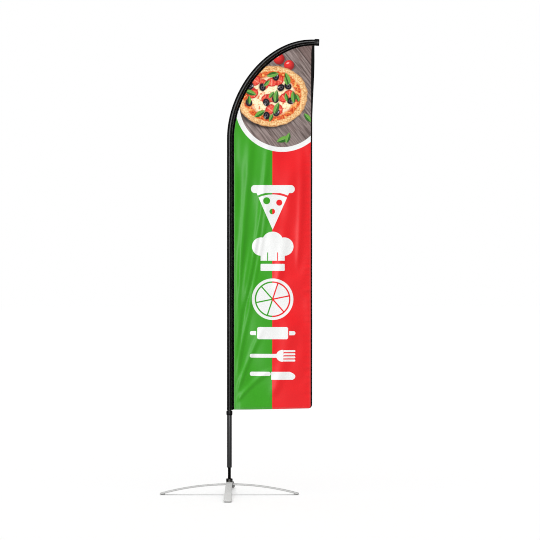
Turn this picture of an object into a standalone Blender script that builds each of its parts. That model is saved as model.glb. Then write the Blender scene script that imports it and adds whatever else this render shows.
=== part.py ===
"""Feather flag on a curved sectional pole, standing on a folding cross base with a bearing spindle.

Metres, +Z up. +X points to the flag's free edge and +Y away from the viewer. The floor is at z = 0 and
the origin is the middle of the footprint, so the pole's axis stands beside it, at x = AXIS_X.
Every turning or sliding piece moves about or along the pole's axis, and hangs on the empty placed there.
"""

import math

import bmesh
import bpy
from mathutils import Vector

# Footprint
LEG_REACH = 0.4095
TIP_REACH = 0.531
AXIS_X = (LEG_REACH - TIP_REACH) / 2

# Running and seating gaps
FIT_GAP = 0.0003
RUNNING_GAP = 0.0005

# Cross base: two arched bars, the upper one crossing over the lower one
BAR_THICKNESS = 0.008
BAR_HALF_WIDTH = 0.0195
BAR_FLARE = 0.004
BAR_FLARE_START = 0.55
BAR_CORNER_RADIUS = 0.010
BAR_CHAMFER = 0.001
BAR_TIP_TOP_Z = 0.010
BAR_STEPS = 16
CORNER_STEPS = 4
LOWER_CROWN_Z = 0.0660
FRICTION_WASHER_THICKNESS = 0.0010
CROWN_STEP = 0.0004 + FRICTION_WASHER_THICKNESS + 0.0004
UPPER_CROWN_Z = LOWER_CROWN_Z + CROWN_STEP + BAR_THICKNESS
PIVOT_HOLE_RADIUS = 0.0066

# Rubber pads under the four tips
PAD_INNER_X = 0.380
PAD_OUTER_X = 0.402
PAD_HALF_WIDTH = 0.017
PAD_STEPS = 4

# Bearing housing with its threaded stud
STUD_RADIUS = 0.0060
STUD_END_Z = 0.0440
HOUSING_RADIUS = 0.0191
HOUSING_BOTTOM_Z = UPPER_CROWN_Z + FIT_GAP
HOUSING_TOP_Z = 0.0955
HOUSING_FLOOR = 0.0040
HOUSING_CHAMFER = 0.0009
HOUSING_BORE = 0.0164
HOUSING_LEDGE_BORE = 0.0130
RING_GROOVE_RADIUS = 0.0172
RING_GROOVE_HEIGHT = 0.0018
PIVOT_NUT_FLATS = 0.019
PIVOT_NUT_HEIGHT = 0.0100
PIVOT_WASHER_RADIUS = 0.0120
PIVOT_WASHER_THICKNESS = 0.0016
FRICTION_WASHER_RADIUS = 0.0160

# Deep-groove ball bearing, 15 x 32 x 9 mm
BEARING_WIDTH = 0.0090
BEARING_BOTTOM_Z = 0.0834
BEARING_MIDDLE_Z = BEARING_BOTTOM_Z + BEARING_WIDTH / 2
BEARING_TOP_Z = BEARING_BOTTOM_Z + BEARING_WIDTH
OUTER_RACE_RADIUS = 0.0160
OUTER_RACE_SHOULDER = 0.0137
INNER_RACE_SHOULDER = 0.0098
INNER_RACE_BORE = 0.0078
BALL_RADIUS = 0.00238
BALL_PITCH_RADIUS = 0.01175
BALL_COUNT = 9
GROOVE_GAP = 0.0004
GROOVE_STEPS = 6
CAGE_INNER_RADIUS = 0.0103
CAGE_OUTER_RADIUS = 0.0132
CAGE_DEPTH = 0.0039
CAGE_RISE = 0.0008
CAGE_STEPS_PER_BALL = 8

# Spindle
JOURNAL_RADIUS = 0.0074
SPINDLE_RADIUS = 0.0086
SPINDLE_FOOT_Z = HOUSING_BOTTOM_Z + HOUSING_FLOOR + RUNNING_GAP
SPINDLE_SHOULDER_Z = BEARING_TOP_Z + FIT_GAP
SPINDLE_TOP_Z = 0.3110
SPINDLE_TIP_CHAMFER = 0.0025
CIRCLIP_THICKNESS = 0.0010
CIRCLIP_TOP_Z = BEARING_BOTTOM_Z - FIT_GAP
CIRCLIP_GROOVE_RADIUS = 0.0066
CIRCLIP_RADIUS = 0.0095
CIRCLIP_OPENING = math.radians(50)
O_RING_HEIGHTS = {"o_ring_lower": 0.2050, "o_ring_upper": 0.2900}
O_RING_SECTION = 0.00050
O_RING_RADIUS = 0.00845
O_RING_GROOVE_RADIUS = 0.0076
O_RING_GROOVE_HALF_HEIGHT = 0.0009
COVER_THICKNESS = 0.0013
COVER_BORE = 0.0092

# Bottom pole, which drops over the spindle
TUBE_RADIUS = 0.0140
TUBE_WALL = 0.0015
TUBE_BOTTOM_Z = 0.1610
TUBE_TOP_Z = 0.4700
BUSH_LIP = 0.0025
BUSH_LENGTH = 0.0240
BUSH_BORE = 0.0093
CUP_BOTTOM_Z = 0.2960
CUP_TOP_Z = 0.3180

# Mast sections above the bottom pole
MAST_LOWER_RADIUS = 0.0122
MAST_LOWER_WALL = 0.0015
MAST_LOWER_BOTTOM_Z = 0.3500
MAST_LOWER_TOP_Z = 1.2000
MAST_UPPER_RADIUS = 0.0085
MAST_UPPER_WALL = 0.0016
MAST_UPPER_TOP_Z = 2.0450
FERRULE_LENGTH = 0.0500
FERRULE_CAP = 0.0080
TIP_ROD_RADIUS = 0.0050
TIP_ROD_END_RADIUS = 0.0032
COLLAR_RADIUS = 0.0180
COLLAR_CHAMFER = 0.0042
COLLAR_TOP_Z = 0.4960

# Bend of the pole: one cubic curve, rising straight off the axis and ending with a slight droop
BEND_START_Z = 2.1006
BEND_LOWER_HANDLE = 0.2894
BEND_UPPER_HANDLE = 0.2632
BEND_END_X = 0.5020
BEND_END_Z = 2.6732
BEND_END_DROOP = 0.0467
BEND_STEPS = 20

# Sleeve: a fabric tube for the pole and the flat flange that the flag is sewn to
SLEEVE_BOTTOM_Z = 0.5000
SLEEVE_HEM_RISE = 0.0060
SLEEVE_RADIUS = 0.0143
SLEEVE_TIP_RADIUS = 0.0124
SLEEVE_WALL = 0.0009
SLEEVE_FLANGE = 0.0274
SLEEVE_TIP_FLANGE = 0.0236
SLEEVE_HEM_FLANGE = 0.0200
FLANGE_HALF_THICKNESS = 0.0012
SLEEVE_ARC_STEPS = 16
SLEEVE_TAPER_START = 0.50

# Flag panel and the binding along its free edge
PANEL_HALF_THICKNESS = 0.0006
PANEL_BOTTOM_LEFT_Z = 0.5030
PANEL_BOTTOM_RIGHT_Z = 0.5120
FLY_X = 0.4890
FLY_SWELL = 0.0130
FLY_SWELL_BOTTOM_Z = 2.1800
FLY_SWELL_TOP_Z = 2.5700
FLY_TOP_Z = 2.6490
FLY_CORNER_RADIUS = 0.0240
FLY_STEPS = 6
BINDING_WIDTH = 0.0087
BINDING_HALF_THICKNESS = 0.0015
BINDING_FOLD = 0.0024
BINDING_WRAP = math.radians(55)

# Tip cap
CAP_LENGTH = 0.0282
CAP_HALF_HEIGHT = 0.0199
CAP_HALF_DEPTH = 0.0160
CAP_CENTRE_OFFSET = 0.0038
CAP_EDGE = 0.0012
CAP_EDGE_SCALE = 0.93
CAP_GROOVE_START = 0.0075
CAP_GROOVE_WIDTH = 0.0025
CAP_GROOVE_SLOPE = 0.0006
CAP_GROOVE_SCALE = 0.94
CAP_SOCKET_RADIUS = 0.0040
CAP_SOCKET_DEPTH = 0.0170
CAP_SQUARENESS = 2.6
ROD_INSERTION = 0.0150

# Mesh fineness
ROUND_SEGMENTS = 24
ROD_SEGMENTS = 12
RING_SEGMENTS = 6
CAP_SEGMENTS = 24
SHARP_ANGLE = math.radians(35)
MERGE_DISTANCE = 1e-6

UP = Vector((0, 0, 1))


def clear_scene():
    for thing in list(bpy.data.objects):
        bpy.data.objects.remove(thing, do_unlink=True)


def material(name, colour, roughness, metallic=0.0):
    made = bpy.data.materials.new(name)
    made.use_nodes = True
    shader = made.node_tree.nodes["Principled BSDF"]
    shader.inputs["Base Color"].default_value = (*colour, 1.0)
    shader.inputs["Roughness"].default_value = roughness
    shader.inputs["Metallic"].default_value = metallic
    return made


def painted_steel(name):
    return material(name + "_finish", (0.62, 0.62, 0.60), 0.45, 0.3)


def bare_steel(name):
    return material(name + "_finish", (0.34, 0.34, 0.33), 0.35, 1.0)


def bearing_steel(name):
    return material(name + "_finish", (0.60, 0.60, 0.60), 0.15, 1.0)


def black_steel(name):
    return material(name + "_finish", (0.008, 0.008, 0.008), 0.35, 0.4)


def anodised_aluminium(name):
    return material(name + "_finish", (0.045, 0.045, 0.045), 0.40, 0.8)


def fibreglass(name):
    return material(name + "_finish", (0.020, 0.020, 0.020), 0.30)


def rubber(name):
    return material(name + "_finish", (0.060, 0.060, 0.060), 0.85)


def black_plastic(name):
    return material(name + "_finish", (0.010, 0.010, 0.010), 0.40)


def nylon(name):
    return material(name + "_finish", (0.70, 0.66, 0.56), 0.50)


def black_cloth(name):
    return material(name + "_finish", (0.006, 0.006, 0.006), 0.80)


def printed_cloth(name):
    return material(name + "_finish", (0.050, 0.340, 0.020), 0.75)


def add_part(name, mesh_builder, finish):
    """Close the built mesh, face it outwards and hang it on the pole's axis."""
    bmesh.ops.remove_doubles(mesh_builder, verts=mesh_builder.verts, dist=MERGE_DISTANCE)
    bmesh.ops.recalc_face_normals(mesh_builder, faces=mesh_builder.faces)
    mesh = bpy.data.meshes.new(name)
    mesh_builder.to_mesh(mesh)
    mesh_builder.free()
    mesh.shade_smooth()
    mesh.set_sharp_from_angle(angle=SHARP_ANGLE)
    mesh.materials.append(finish(name))
    part = bpy.data.objects.new(name, mesh)
    bpy.context.scene.collection.objects.link(part)
    part.parent = bpy.data.objects["pole_axis"]
    return part


def turned(name, profile, finish, segments=ROUND_SEGMENTS):
    """Turn a closed outline of (radius, height) points about the pole's axis."""
    builder = bmesh.new()
    corners = [builder.verts.new((radius, 0, height)) for radius, height in profile]
    edges = []
    for start, end in zip(corners, corners[1:] + corners[:1]):
        if start.co.x > MERGE_DISTANCE or end.co.x > MERGE_DISTANCE:
            edges.append(builder.edges.new((start, end)))
    bmesh.ops.spin(
        builder,
        geom=corners + edges,
        axis=UP,
        cent=(0, 0, 0),
        steps=segments,
        angle=math.tau,
        use_merge=True,
    )
    return add_part(name, builder, finish)


def skinned(name, loops, finish, closed=False):
    """Join a row of equal loops of points, into a closed band or with a face over each end."""
    builder = bmesh.new()
    rows = [[builder.verts.new(point) for point in loop] for loop in loops]
    joins = list(zip(rows, rows[1:]))
    if closed:
        joins.append((rows[-1], rows[0]))
    else:
        builder.faces.new(rows[0])
        builder.faces.new(rows[-1])
    for near, far in joins:
        for i in range(len(near)):
            after = (i + 1) % len(near)
            builder.faces.new((near[i], near[after], far[after], far[i]))
    return add_part(name, builder, finish)


def steps(first, last, count):
    """Evenly spaced values, both ends included."""
    return [first + (last - first) * i / count for i in range(count + 1)]


def smoothstep(low, high, value):
    share = min(max((value - low) / (high - low), 0.0), 1.0)
    return share * share * (3 - 2 * share)


# Cross base


def arch_radius(crown_z):
    """Radius of a bar's top surface, from its reach and its rise over the tips."""
    rise = crown_z - BAR_TIP_TOP_Z
    return (LEG_REACH**2 + rise**2) / (2 * rise)


def bar_underside(crown_z, x):
    radius = arch_radius(crown_z)
    return crown_z - radius + math.sqrt((radius - BAR_THICKNESS) ** 2 - x**2)


def bar_half_width(share):
    """Half width at a share of the half length: parallel, then flaring towards the tip."""
    return BAR_HALF_WIDTH + BAR_FLARE * smoothstep(BAR_FLARE_START, 1.0, share)


def bar_stations(half_length):
    """(distance from the crown, half width) along one half of a bar, tip last."""
    straight_end = half_length - BAR_CORNER_RADIUS
    rows = [(d, bar_half_width(d / half_length)) for d in steps(0, straight_end, BAR_STEPS // 2)]
    for turn in steps(0, math.pi / 2, CORNER_STEPS)[1:]:
        distance = straight_end + BAR_CORNER_RADIUS * math.sin(turn)
        cut = BAR_CORNER_RADIUS * (1 - math.cos(turn))
        rows.append((distance, bar_half_width(distance / half_length) - cut))
    return rows


def bar_section(half_width, inner, outer):
    """Chamfered rectangle as (across, radius) points."""
    side = half_width - BAR_CHAMFER
    low = inner + BAR_CHAMFER
    high = outer - BAR_CHAMFER
    right = [(side, inner), (half_width, low), (half_width, high), (side, outer)]
    return right + [(-across, radius) for across, radius in reversed(right)]


def arched_bar(name, crown_z, cutter):
    outer = arch_radius(crown_z)
    inner = outer - BAR_THICKNESS
    half_length = outer * math.asin(LEG_REACH / outer)
    half = bar_stations(half_length)
    stations = [(-distance, width) for distance, width in reversed(half[1:])] + half
    loops = []
    for distance, half_width in stations:
        lean = distance / outer
        loops.append(
            [
                (radius * math.sin(lean), across, crown_z - outer + radius * math.cos(lean))
                for across, radius in bar_section(half_width, inner, outer)
            ]
        )
    bar = skinned(name, loops, painted_steel)
    hole = bar.modifiers.new("pivot_hole", "BOOLEAN")
    hole.operation = "DIFFERENCE"
    hole.object = cutter
    return bar


def pivot_hole_cutter():
    bottom = LOWER_CROWN_Z - 2 * BAR_THICKNESS
    top = UPPER_CROWN_Z + BAR_THICKNESS
    profile = [(0, bottom), (PIVOT_HOLE_RADIUS, bottom), (PIVOT_HOLE_RADIUS, top), (0, top)]
    cutter = turned("pivot_hole_cutter", profile, bare_steel)
    cutter.hide_render = True
    cutter.display_type = "WIRE"
    return cutter


def foot_pad(name, crown_z, heading):
    """Wedge of rubber between a tip and the floor, flat below and curved above."""
    loops = []
    for x in steps(PAD_INNER_X, PAD_OUTER_X, PAD_STEPS):
        top = bar_underside(crown_z, x) - FIT_GAP
        side = PAD_HALF_WIDTH
        loops.append([(x, -side, 0), (x, side, 0), (x, side, top), (x, -side, top)])
    pad = skinned(name, loops, rubber)
    pad.rotation_euler.z = heading


def cross_base():
    cutter = pivot_hole_cutter()
    arched_bar("lower_bar", LOWER_CROWN_Z, cutter)
    upper = arched_bar("upper_bar", UPPER_CROWN_Z, cutter)
    upper.rotation_euler.z = math.pi / 2
    foot_pad("foot_pad_right", LOWER_CROWN_Z, 0)
    foot_pad("foot_pad_left", LOWER_CROWN_Z, math.pi)
    foot_pad("foot_pad_back", UPPER_CROWN_Z, math.pi / 2)
    foot_pad("foot_pad_front", UPPER_CROWN_Z, -math.pi / 2)


# Pivot and bearing housing


def bearing_housing():
    """Cup for the bearing, with the stud that holds the bars below it."""
    floor_top = HOUSING_BOTTOM_Z + HOUSING_FLOOR
    ledge = BEARING_BOTTOM_Z - FIT_GAP
    groove_top = BEARING_TOP_Z + RING_GROOVE_HEIGHT
    chamfer = HOUSING_CHAMFER
    profile = [
        (0, STUD_END_Z),
        (STUD_RADIUS - chamfer, STUD_END_Z),
        (STUD_RADIUS, STUD_END_Z + chamfer),
        (STUD_RADIUS, HOUSING_BOTTOM_Z),
        (HOUSING_RADIUS - chamfer, HOUSING_BOTTOM_Z),
        (HOUSING_RADIUS, HOUSING_BOTTOM_Z + chamfer),
        (HOUSING_RADIUS, HOUSING_TOP_Z - chamfer),
        (HOUSING_RADIUS - chamfer, HOUSING_TOP_Z),
        (HOUSING_BORE, HOUSING_TOP_Z),
        (HOUSING_BORE, groove_top),
        (RING_GROOVE_RADIUS, groove_top),
        (RING_GROOVE_RADIUS, BEARING_TOP_Z),
        (HOUSING_BORE, BEARING_TOP_Z),
        (HOUSING_BORE, ledge),
        (HOUSING_LEDGE_BORE, ledge),
        (HOUSING_LEDGE_BORE, floor_top),
        (0, floor_top),
    ]
    turned("bearing_housing", profile, bare_steel)


def ring_profile(inner, outer, bottom, top):
    return [(inner, bottom), (outer, bottom), (outer, top), (inner, top)]


def friction_washer():
    bottom = LOWER_CROWN_Z + (CROWN_STEP - FRICTION_WASHER_THICKNESS) / 2
    top = bottom + FRICTION_WASHER_THICKNESS
    profile = ring_profile(PIVOT_HOLE_RADIUS, FRICTION_WASHER_RADIUS, bottom, top)
    turned("friction_washer", profile, nylon)


def pivot_washer():
    top = LOWER_CROWN_Z - BAR_THICKNESS - RUNNING_GAP
    bottom = top - PIVOT_WASHER_THICKNESS
    profile = ring_profile(PIVOT_HOLE_RADIUS, PIVOT_WASHER_RADIUS, bottom, top)
    turned("pivot_washer", profile, bare_steel)


def hexagon_loop(across_flats, z):
    """Points round a hexagon, as many as round a turned piece."""
    points = []
    for i in range(ROUND_SEGMENTS):
        angle = math.tau * i / ROUND_SEGMENTS
        off_flat = angle % (math.pi / 3) - math.pi / 6
        radius = across_flats / 2 / math.cos(off_flat)
        points.append((radius * math.cos(angle), radius * math.sin(angle), z))
    return points


def circle_loop(radius, z):
    angles = [math.tau * i / ROUND_SEGMENTS for i in range(ROUND_SEGMENTS)]
    return [(radius * math.cos(angle), radius * math.sin(angle), z) for angle in angles]


def pivot_nut():
    washer_bottom = LOWER_CROWN_Z - BAR_THICKNESS - RUNNING_GAP - PIVOT_WASHER_THICKNESS
    top = washer_bottom - FIT_GAP
    bottom = top - PIVOT_NUT_HEIGHT
    bore = STUD_RADIUS + RUNNING_GAP
    loops = [
        hexagon_loop(PIVOT_NUT_FLATS, bottom),
        hexagon_loop(PIVOT_NUT_FLATS, top),
        circle_loop(bore, top),
        circle_loop(bore, bottom),
    ]
    skinned("pivot_nut", loops, bare_steel, closed=True)


# Ball bearing


def groove_arc(toward_axis):
    """Ball groove as (radius, height) points, bottom to top, on the race's shoulder."""
    radius = BALL_RADIUS + GROOVE_GAP
    shoulder = INNER_RACE_SHOULDER if toward_axis else OUTER_RACE_SHOULDER
    side = -1 if toward_axis else 1
    reach = math.acos(abs(shoulder - BALL_PITCH_RADIUS) / radius)
    points = []
    for angle in steps(-reach, reach, GROOVE_STEPS):
        points.append(
            (
                BALL_PITCH_RADIUS + side * radius * math.cos(angle),
                BEARING_MIDDLE_Z + radius * math.sin(angle),
            )
        )
    return points


def bearing_races():
    outer = [(OUTER_RACE_RADIUS, BEARING_TOP_Z), (OUTER_RACE_RADIUS, BEARING_BOTTOM_Z)]
    outer.append((OUTER_RACE_SHOULDER, BEARING_BOTTOM_Z))
    outer += groove_arc(False)
    outer.append((OUTER_RACE_SHOULDER, BEARING_TOP_Z))
    turned("bearing_outer_race", outer, bearing_steel)
    inner = [(INNER_RACE_BORE, BEARING_TOP_Z), (INNER_RACE_BORE, BEARING_BOTTOM_Z)]
    inner.append((INNER_RACE_SHOULDER, BEARING_BOTTOM_Z))
    inner += groove_arc(True)
    inner.append((INNER_RACE_SHOULDER, BEARING_TOP_Z))
    turned("bearing_inner_race", inner, bearing_steel)


def bearing_balls():
    for i in range(BALL_COUNT):
        angle = math.tau * i / BALL_COUNT
        builder = bmesh.new()
        bmesh.ops.create_icosphere(builder, subdivisions=2, radius=BALL_RADIUS)
        ball = add_part(f"bearing_ball_{i + 1}", builder, bearing_steel)
        ball.location = (
            BALL_PITCH_RADIUS * math.cos(angle),
            BALL_PITCH_RADIUS * math.sin(angle),
            BEARING_MIDDLE_Z,
        )


def cage_top(angle):
    """Height of the cage's scalloped rim: a round pocket under each ball, a post between."""
    pitch = math.tau / BALL_COUNT
    off_ball = (angle + pitch / 2) % pitch - pitch / 2
    reach = BALL_PITCH_RADIUS * abs(off_ball)
    pocket = BALL_RADIUS + GROOVE_GAP
    if reach >= pocket:
        return BEARING_MIDDLE_Z + CAGE_RISE
    return min(BEARING_MIDDLE_Z - math.sqrt(pocket**2 - reach**2), BEARING_MIDDLE_Z + CAGE_RISE)


def ball_cage():
    count = BALL_COUNT * CAGE_STEPS_PER_BALL
    loops = []
    for i in range(count):
        angle = math.tau * i / count
        across = Vector((math.cos(angle), math.sin(angle), 0))
        bottom = UP * (BEARING_MIDDLE_Z - CAGE_DEPTH)
        top = UP * cage_top(angle)
        inner = across * CAGE_INNER_RADIUS
        outer = across * CAGE_OUTER_RADIUS
        loops.append([inner + bottom, outer + bottom, outer + top, inner + top])
    skinned("ball_cage", loops, nylon, closed=True)


def open_ring(name, inner, outer, bottom, top, opening):
    """Flat ring with a gap, as a spring clip has."""
    loops = []
    for angle in steps(opening / 2, math.tau - opening / 2, ROUND_SEGMENTS):
        across = Vector((math.cos(angle), math.sin(angle), 0))
        loops.append(
            [across * radius + UP * z for radius, z in ring_profile(inner, outer, bottom, top)]
        )
    skinned(name, loops, bare_steel)


def retaining_ring():
    """Spring ring in the housing's groove, over the outer race."""
    bottom = BEARING_TOP_Z + FIT_GAP
    top = BEARING_TOP_Z + RING_GROOVE_HEIGHT - FIT_GAP
    outer = RING_GROOVE_RADIUS - RUNNING_GAP
    open_ring("retaining_ring", OUTER_RACE_SHOULDER, outer, bottom, top, CIRCLIP_OPENING)


def dust_cover():
    outer = HOUSING_BORE - RUNNING_GAP
    bottom = HOUSING_TOP_Z - COVER_THICKNESS
    turned("dust_cover", ring_profile(COVER_BORE, outer, bottom, HOUSING_TOP_Z), black_plastic)


# Spindle


def spindle():
    groove_top = CIRCLIP_TOP_Z + FIT_GAP / 2
    groove_bottom = CIRCLIP_TOP_Z - CIRCLIP_THICKNESS - FIT_GAP
    profile = [
        (0, SPINDLE_FOOT_Z),
        (JOURNAL_RADIUS, SPINDLE_FOOT_Z),
        (JOURNAL_RADIUS, groove_bottom),
        (CIRCLIP_GROOVE_RADIUS, groove_bottom),
        (CIRCLIP_GROOVE_RADIUS, groove_top),
        (JOURNAL_RADIUS, groove_top),
        (JOURNAL_RADIUS, SPINDLE_SHOULDER_Z),
        (SPINDLE_RADIUS, SPINDLE_SHOULDER_Z),
    ]
    for height in O_RING_HEIGHTS.values():
        low = height - O_RING_GROOVE_HALF_HEIGHT
        high = height + O_RING_GROOVE_HALF_HEIGHT
        profile += [(SPINDLE_RADIUS, low), (O_RING_GROOVE_RADIUS, low)]
        profile += [(O_RING_GROOVE_RADIUS, high), (SPINDLE_RADIUS, high)]
    profile += [
        (SPINDLE_RADIUS, SPINDLE_TOP_Z - SPINDLE_TIP_CHAMFER),
        (SPINDLE_RADIUS - SPINDLE_TIP_CHAMFER, SPINDLE_TOP_Z),
        (0, SPINDLE_TOP_Z),
    ]
    turned("spindle", profile, black_steel)


def spindle_circlip():
    bottom = CIRCLIP_TOP_Z - CIRCLIP_THICKNESS
    inner = CIRCLIP_GROOVE_RADIUS + FIT_GAP
    open_ring("spindle_circlip", inner, CIRCLIP_RADIUS, bottom, CIRCLIP_TOP_Z, CIRCLIP_OPENING)


def o_rings():
    for name, height in O_RING_HEIGHTS.items():
        profile = []
        for i in range(RING_SEGMENTS):
            angle = math.tau * i / RING_SEGMENTS
            radius = O_RING_RADIUS + O_RING_SECTION * math.cos(angle)
            profile.append((radius, height + O_RING_SECTION * math.sin(angle)))
        turned(name, profile, rubber)


# Straight pole sections


def tube(name, radius, wall, bottom, top, finish):
    turned(name, ring_profile(radius - wall, radius, bottom, top), finish)


def bottom_pole():
    bore = TUBE_RADIUS - TUBE_WALL
    fit = bore - FIT_GAP
    shoulder = TUBE_BOTTOM_Z + BUSH_LIP
    tube("bottom_tube", TUBE_RADIUS, TUBE_WALL, shoulder + FIT_GAP, TUBE_TOP_Z, anodised_aluminium)
    bush = [
        (BUSH_BORE, TUBE_BOTTOM_Z),
        (TUBE_RADIUS, TUBE_BOTTOM_Z),
        (TUBE_RADIUS, shoulder),
        (fit, shoulder),
        (fit, TUBE_BOTTOM_Z + BUSH_LENGTH),
        (BUSH_BORE, TUBE_BOTTOM_Z + BUSH_LENGTH),
    ]
    turned("tube_foot_bush", bush, black_plastic)
    roof = SPINDLE_TOP_Z + FIT_GAP
    cup = [
        (0, roof),
        (BUSH_BORE, roof),
        (BUSH_BORE, CUP_BOTTOM_Z),
        (fit, CUP_BOTTOM_Z),
        (fit, CUP_TOP_Z),
        (0, CUP_TOP_Z),
    ]
    turned("thrust_cup", cup, black_plastic)


def ferrule(name, seat_radius, cap_radius, bore, shoulder_z):
    """Reducer: its body sits inside the section below, its cap rests on that section's end."""
    profile = [
        (bore, shoulder_z - FERRULE_LENGTH),
        (seat_radius, shoulder_z - FERRULE_LENGTH),
        (seat_radius, shoulder_z + FIT_GAP),
        (cap_radius, shoulder_z + FIT_GAP),
        (cap_radius, shoulder_z + FERRULE_CAP),
        (bore, shoulder_z + FERRULE_CAP),
    ]
    turned(name, profile, black_plastic)


def mast_sections():
    tube(
        "mast_lower_tube",
        MAST_LOWER_RADIUS,
        MAST_LOWER_WALL,
        MAST_LOWER_BOTTOM_Z,
        MAST_LOWER_TOP_Z,
        anodised_aluminium,
    )
    ferrule(
        "mast_ferrule",
        MAST_LOWER_RADIUS - MAST_LOWER_WALL - FIT_GAP,
        MAST_LOWER_RADIUS,
        MAST_UPPER_RADIUS + RUNNING_GAP,
        MAST_LOWER_TOP_Z,
    )
    tube(
        "mast_upper_tube",
        MAST_UPPER_RADIUS,
        MAST_UPPER_WALL,
        MAST_LOWER_TOP_Z - FERRULE_LENGTH,
        MAST_UPPER_TOP_Z,
        fibreglass,
    )
    ferrule(
        "tip_ferrule",
        MAST_UPPER_RADIUS - MAST_UPPER_WALL - FIT_GAP,
        MAST_UPPER_RADIUS,
        TIP_ROD_RADIUS + RUNNING_GAP,
        MAST_UPPER_TOP_Z,
    )


def mast_collar():
    """Stop ring on the lower mast section, resting on the bottom pole's end."""
    bore = MAST_LOWER_RADIUS + RUNNING_GAP
    bottom = TUBE_TOP_Z + FIT_GAP
    chamfer = COLLAR_CHAMFER
    profile = [
        (bore, bottom),
        (COLLAR_RADIUS - chamfer / 2, bottom),
        (COLLAR_RADIUS, bottom + chamfer),
        (COLLAR_RADIUS, COLLAR_TOP_Z - chamfer),
        (COLLAR_RADIUS - chamfer / 2, COLLAR_TOP_Z),
        (bore, COLLAR_TOP_Z),
    ]
    turned("mast_collar", profile, black_plastic)


# Bent end of the pole, the sleeve over it and the flag


def bend_controls():
    end = Vector((BEND_END_X, 0, BEND_END_Z))
    heading = Vector((math.cos(BEND_END_DROOP), 0, -math.sin(BEND_END_DROOP)))
    start = Vector((0, 0, BEND_START_Z))
    return start, start + UP * BEND_LOWER_HANDLE, end - heading * BEND_UPPER_HANDLE, end


def bend_frame(share):
    """Point, heading and flagward normal at a share of the bend."""
    p0, p1, p2, p3 = bend_controls()
    rest = 1 - share
    point = p0 * rest**3 + p1 * 3 * rest**2 * share + p2 * 3 * rest * share**2 + p3 * share**3
    slope = (p1 - p0) * rest**2 + (p2 - p1) * 2 * rest * share + (p3 - p2) * share**2
    heading = slope.normalized()
    return point, heading, Vector((heading.z, 0, -heading.x))


def straight_frame(z):
    return Vector((0, 0, z)), UP.copy(), Vector((1, 0, 0))


def rod_loop(frame, radius):
    point, _, flagward = frame
    loop = []
    for i in range(ROD_SEGMENTS):
        angle = math.tau * i / ROD_SEGMENTS
        loop.append(point + flagward * radius * math.cos(angle) + Vector((0, radius, 0)) * math.sin(angle))
    return loop


def tip_rod():
    """Flexible tip, tapering along the bend and ending inside the cap."""
    loops = [rod_loop(straight_frame(MAST_UPPER_TOP_Z - FERRULE_LENGTH), TIP_ROD_RADIUS)]
    for share in steps(0, 1, BEND_STEPS):
        radius = TIP_ROD_RADIUS + (TIP_ROD_END_RADIUS - TIP_ROD_RADIUS) * share
        loops.append(rod_loop(bend_frame(share), radius))
    point, heading, flagward = bend_frame(1)
    loops.append(rod_loop((point + heading * ROD_INSERTION, heading, flagward), TIP_ROD_END_RADIUS))
    skinned("tip_rod", loops, fibreglass)


def taper(share, full, tip):
    return full + (tip - full) * smoothstep(SLEEVE_TAPER_START, 1.0, share)


def sleeve_outline(radius, flange):
    """Sleeve's section as matching outer and inner (flagward, depth) points."""
    half = FLANGE_HALF_THICKNESS
    opening = math.asin(half / radius)
    wall = radius - SLEEVE_WALL
    outer = [(flange, half)]
    inner = [(wall * math.cos(opening / 2), wall * math.sin(opening / 2))]
    for angle in steps(opening, math.tau - opening, SLEEVE_ARC_STEPS):
        outer.append((radius * math.cos(angle), radius * math.sin(angle)))
        inner.append((wall * math.cos(angle), wall * math.sin(angle)))
    outer.append((flange, -half))
    inner.append((wall * math.cos(opening / 2), -wall * math.sin(opening / 2)))
    return outer, inner


def place(frame, section):
    point, _, flagward = frame
    return [point + flagward * across + Vector((0, depth, 0)) for across, depth in section]


def pole_sleeve():
    stations = [
        (straight_frame(SLEEVE_BOTTOM_Z), SLEEVE_RADIUS, SLEEVE_HEM_FLANGE),
        (straight_frame(SLEEVE_BOTTOM_Z + SLEEVE_HEM_RISE), SLEEVE_RADIUS, SLEEVE_FLANGE),
    ]
    for share in steps(0, 1, BEND_STEPS):
        radius = taper(share, SLEEVE_RADIUS, SLEEVE_TIP_RADIUS)
        flange = taper(share, SLEEVE_FLANGE, SLEEVE_TIP_FLANGE)
        stations.append((bend_frame(share), radius, flange))
    outside = []
    inside = []
    for frame, radius, flange in stations:
        outer, inner = sleeve_outline(radius, flange)
        outside.append(place(frame, outer))
        inside.append(place(frame, inner))
    skinned("pole_sleeve", outside + inside[::-1], black_cloth, closed=True)


def fly_x(z):
    """Outer face of the binding, swelling outwards towards the tip."""
    return FLY_X + FLY_SWELL * smoothstep(FLY_SWELL_BOTTOM_Z, FLY_SWELL_TOP_Z, z)


def fly_path():
    """(point, inward direction) down the free edge and into the bottom corner."""
    heights = [FLY_TOP_Z] + steps(FLY_SWELL_TOP_Z, FLY_SWELL_BOTTOM_Z, FLY_STEPS)
    corner_z = PANEL_BOTTOM_RIGHT_Z + FLY_CORNER_RADIUS
    path = [(Vector((fly_x(z), 0, z)), Vector((-1, 0, 0))) for z in heights]
    centre = Vector((FLY_X - FLY_CORNER_RADIUS, 0, corner_z))
    for turn in steps(0, BINDING_WRAP, FLY_STEPS):
        outward = Vector((math.cos(turn), 0, -math.sin(turn)))
        path.append((centre + outward * FLY_CORNER_RADIUS, -outward))
    return path


def fly_edge_binding():
    """Folded tape: a channel that holds the panel's free edge."""
    thick = BINDING_HALF_THICKNESS
    slot = PANEL_HALF_THICKNESS + FIT_GAP
    section = [(0, -thick), (BINDING_WIDTH, -thick), (BINDING_WIDTH, -slot), (BINDING_FOLD, -slot)]
    section += [(across, -depth) for across, depth in reversed(section)]
    loops = []
    for point, inward in fly_path():
        loops.append([point + inward * across + Vector((0, depth, 0)) for across, depth in section])
    skinned("fly_edge_binding", loops, black_cloth)


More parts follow.
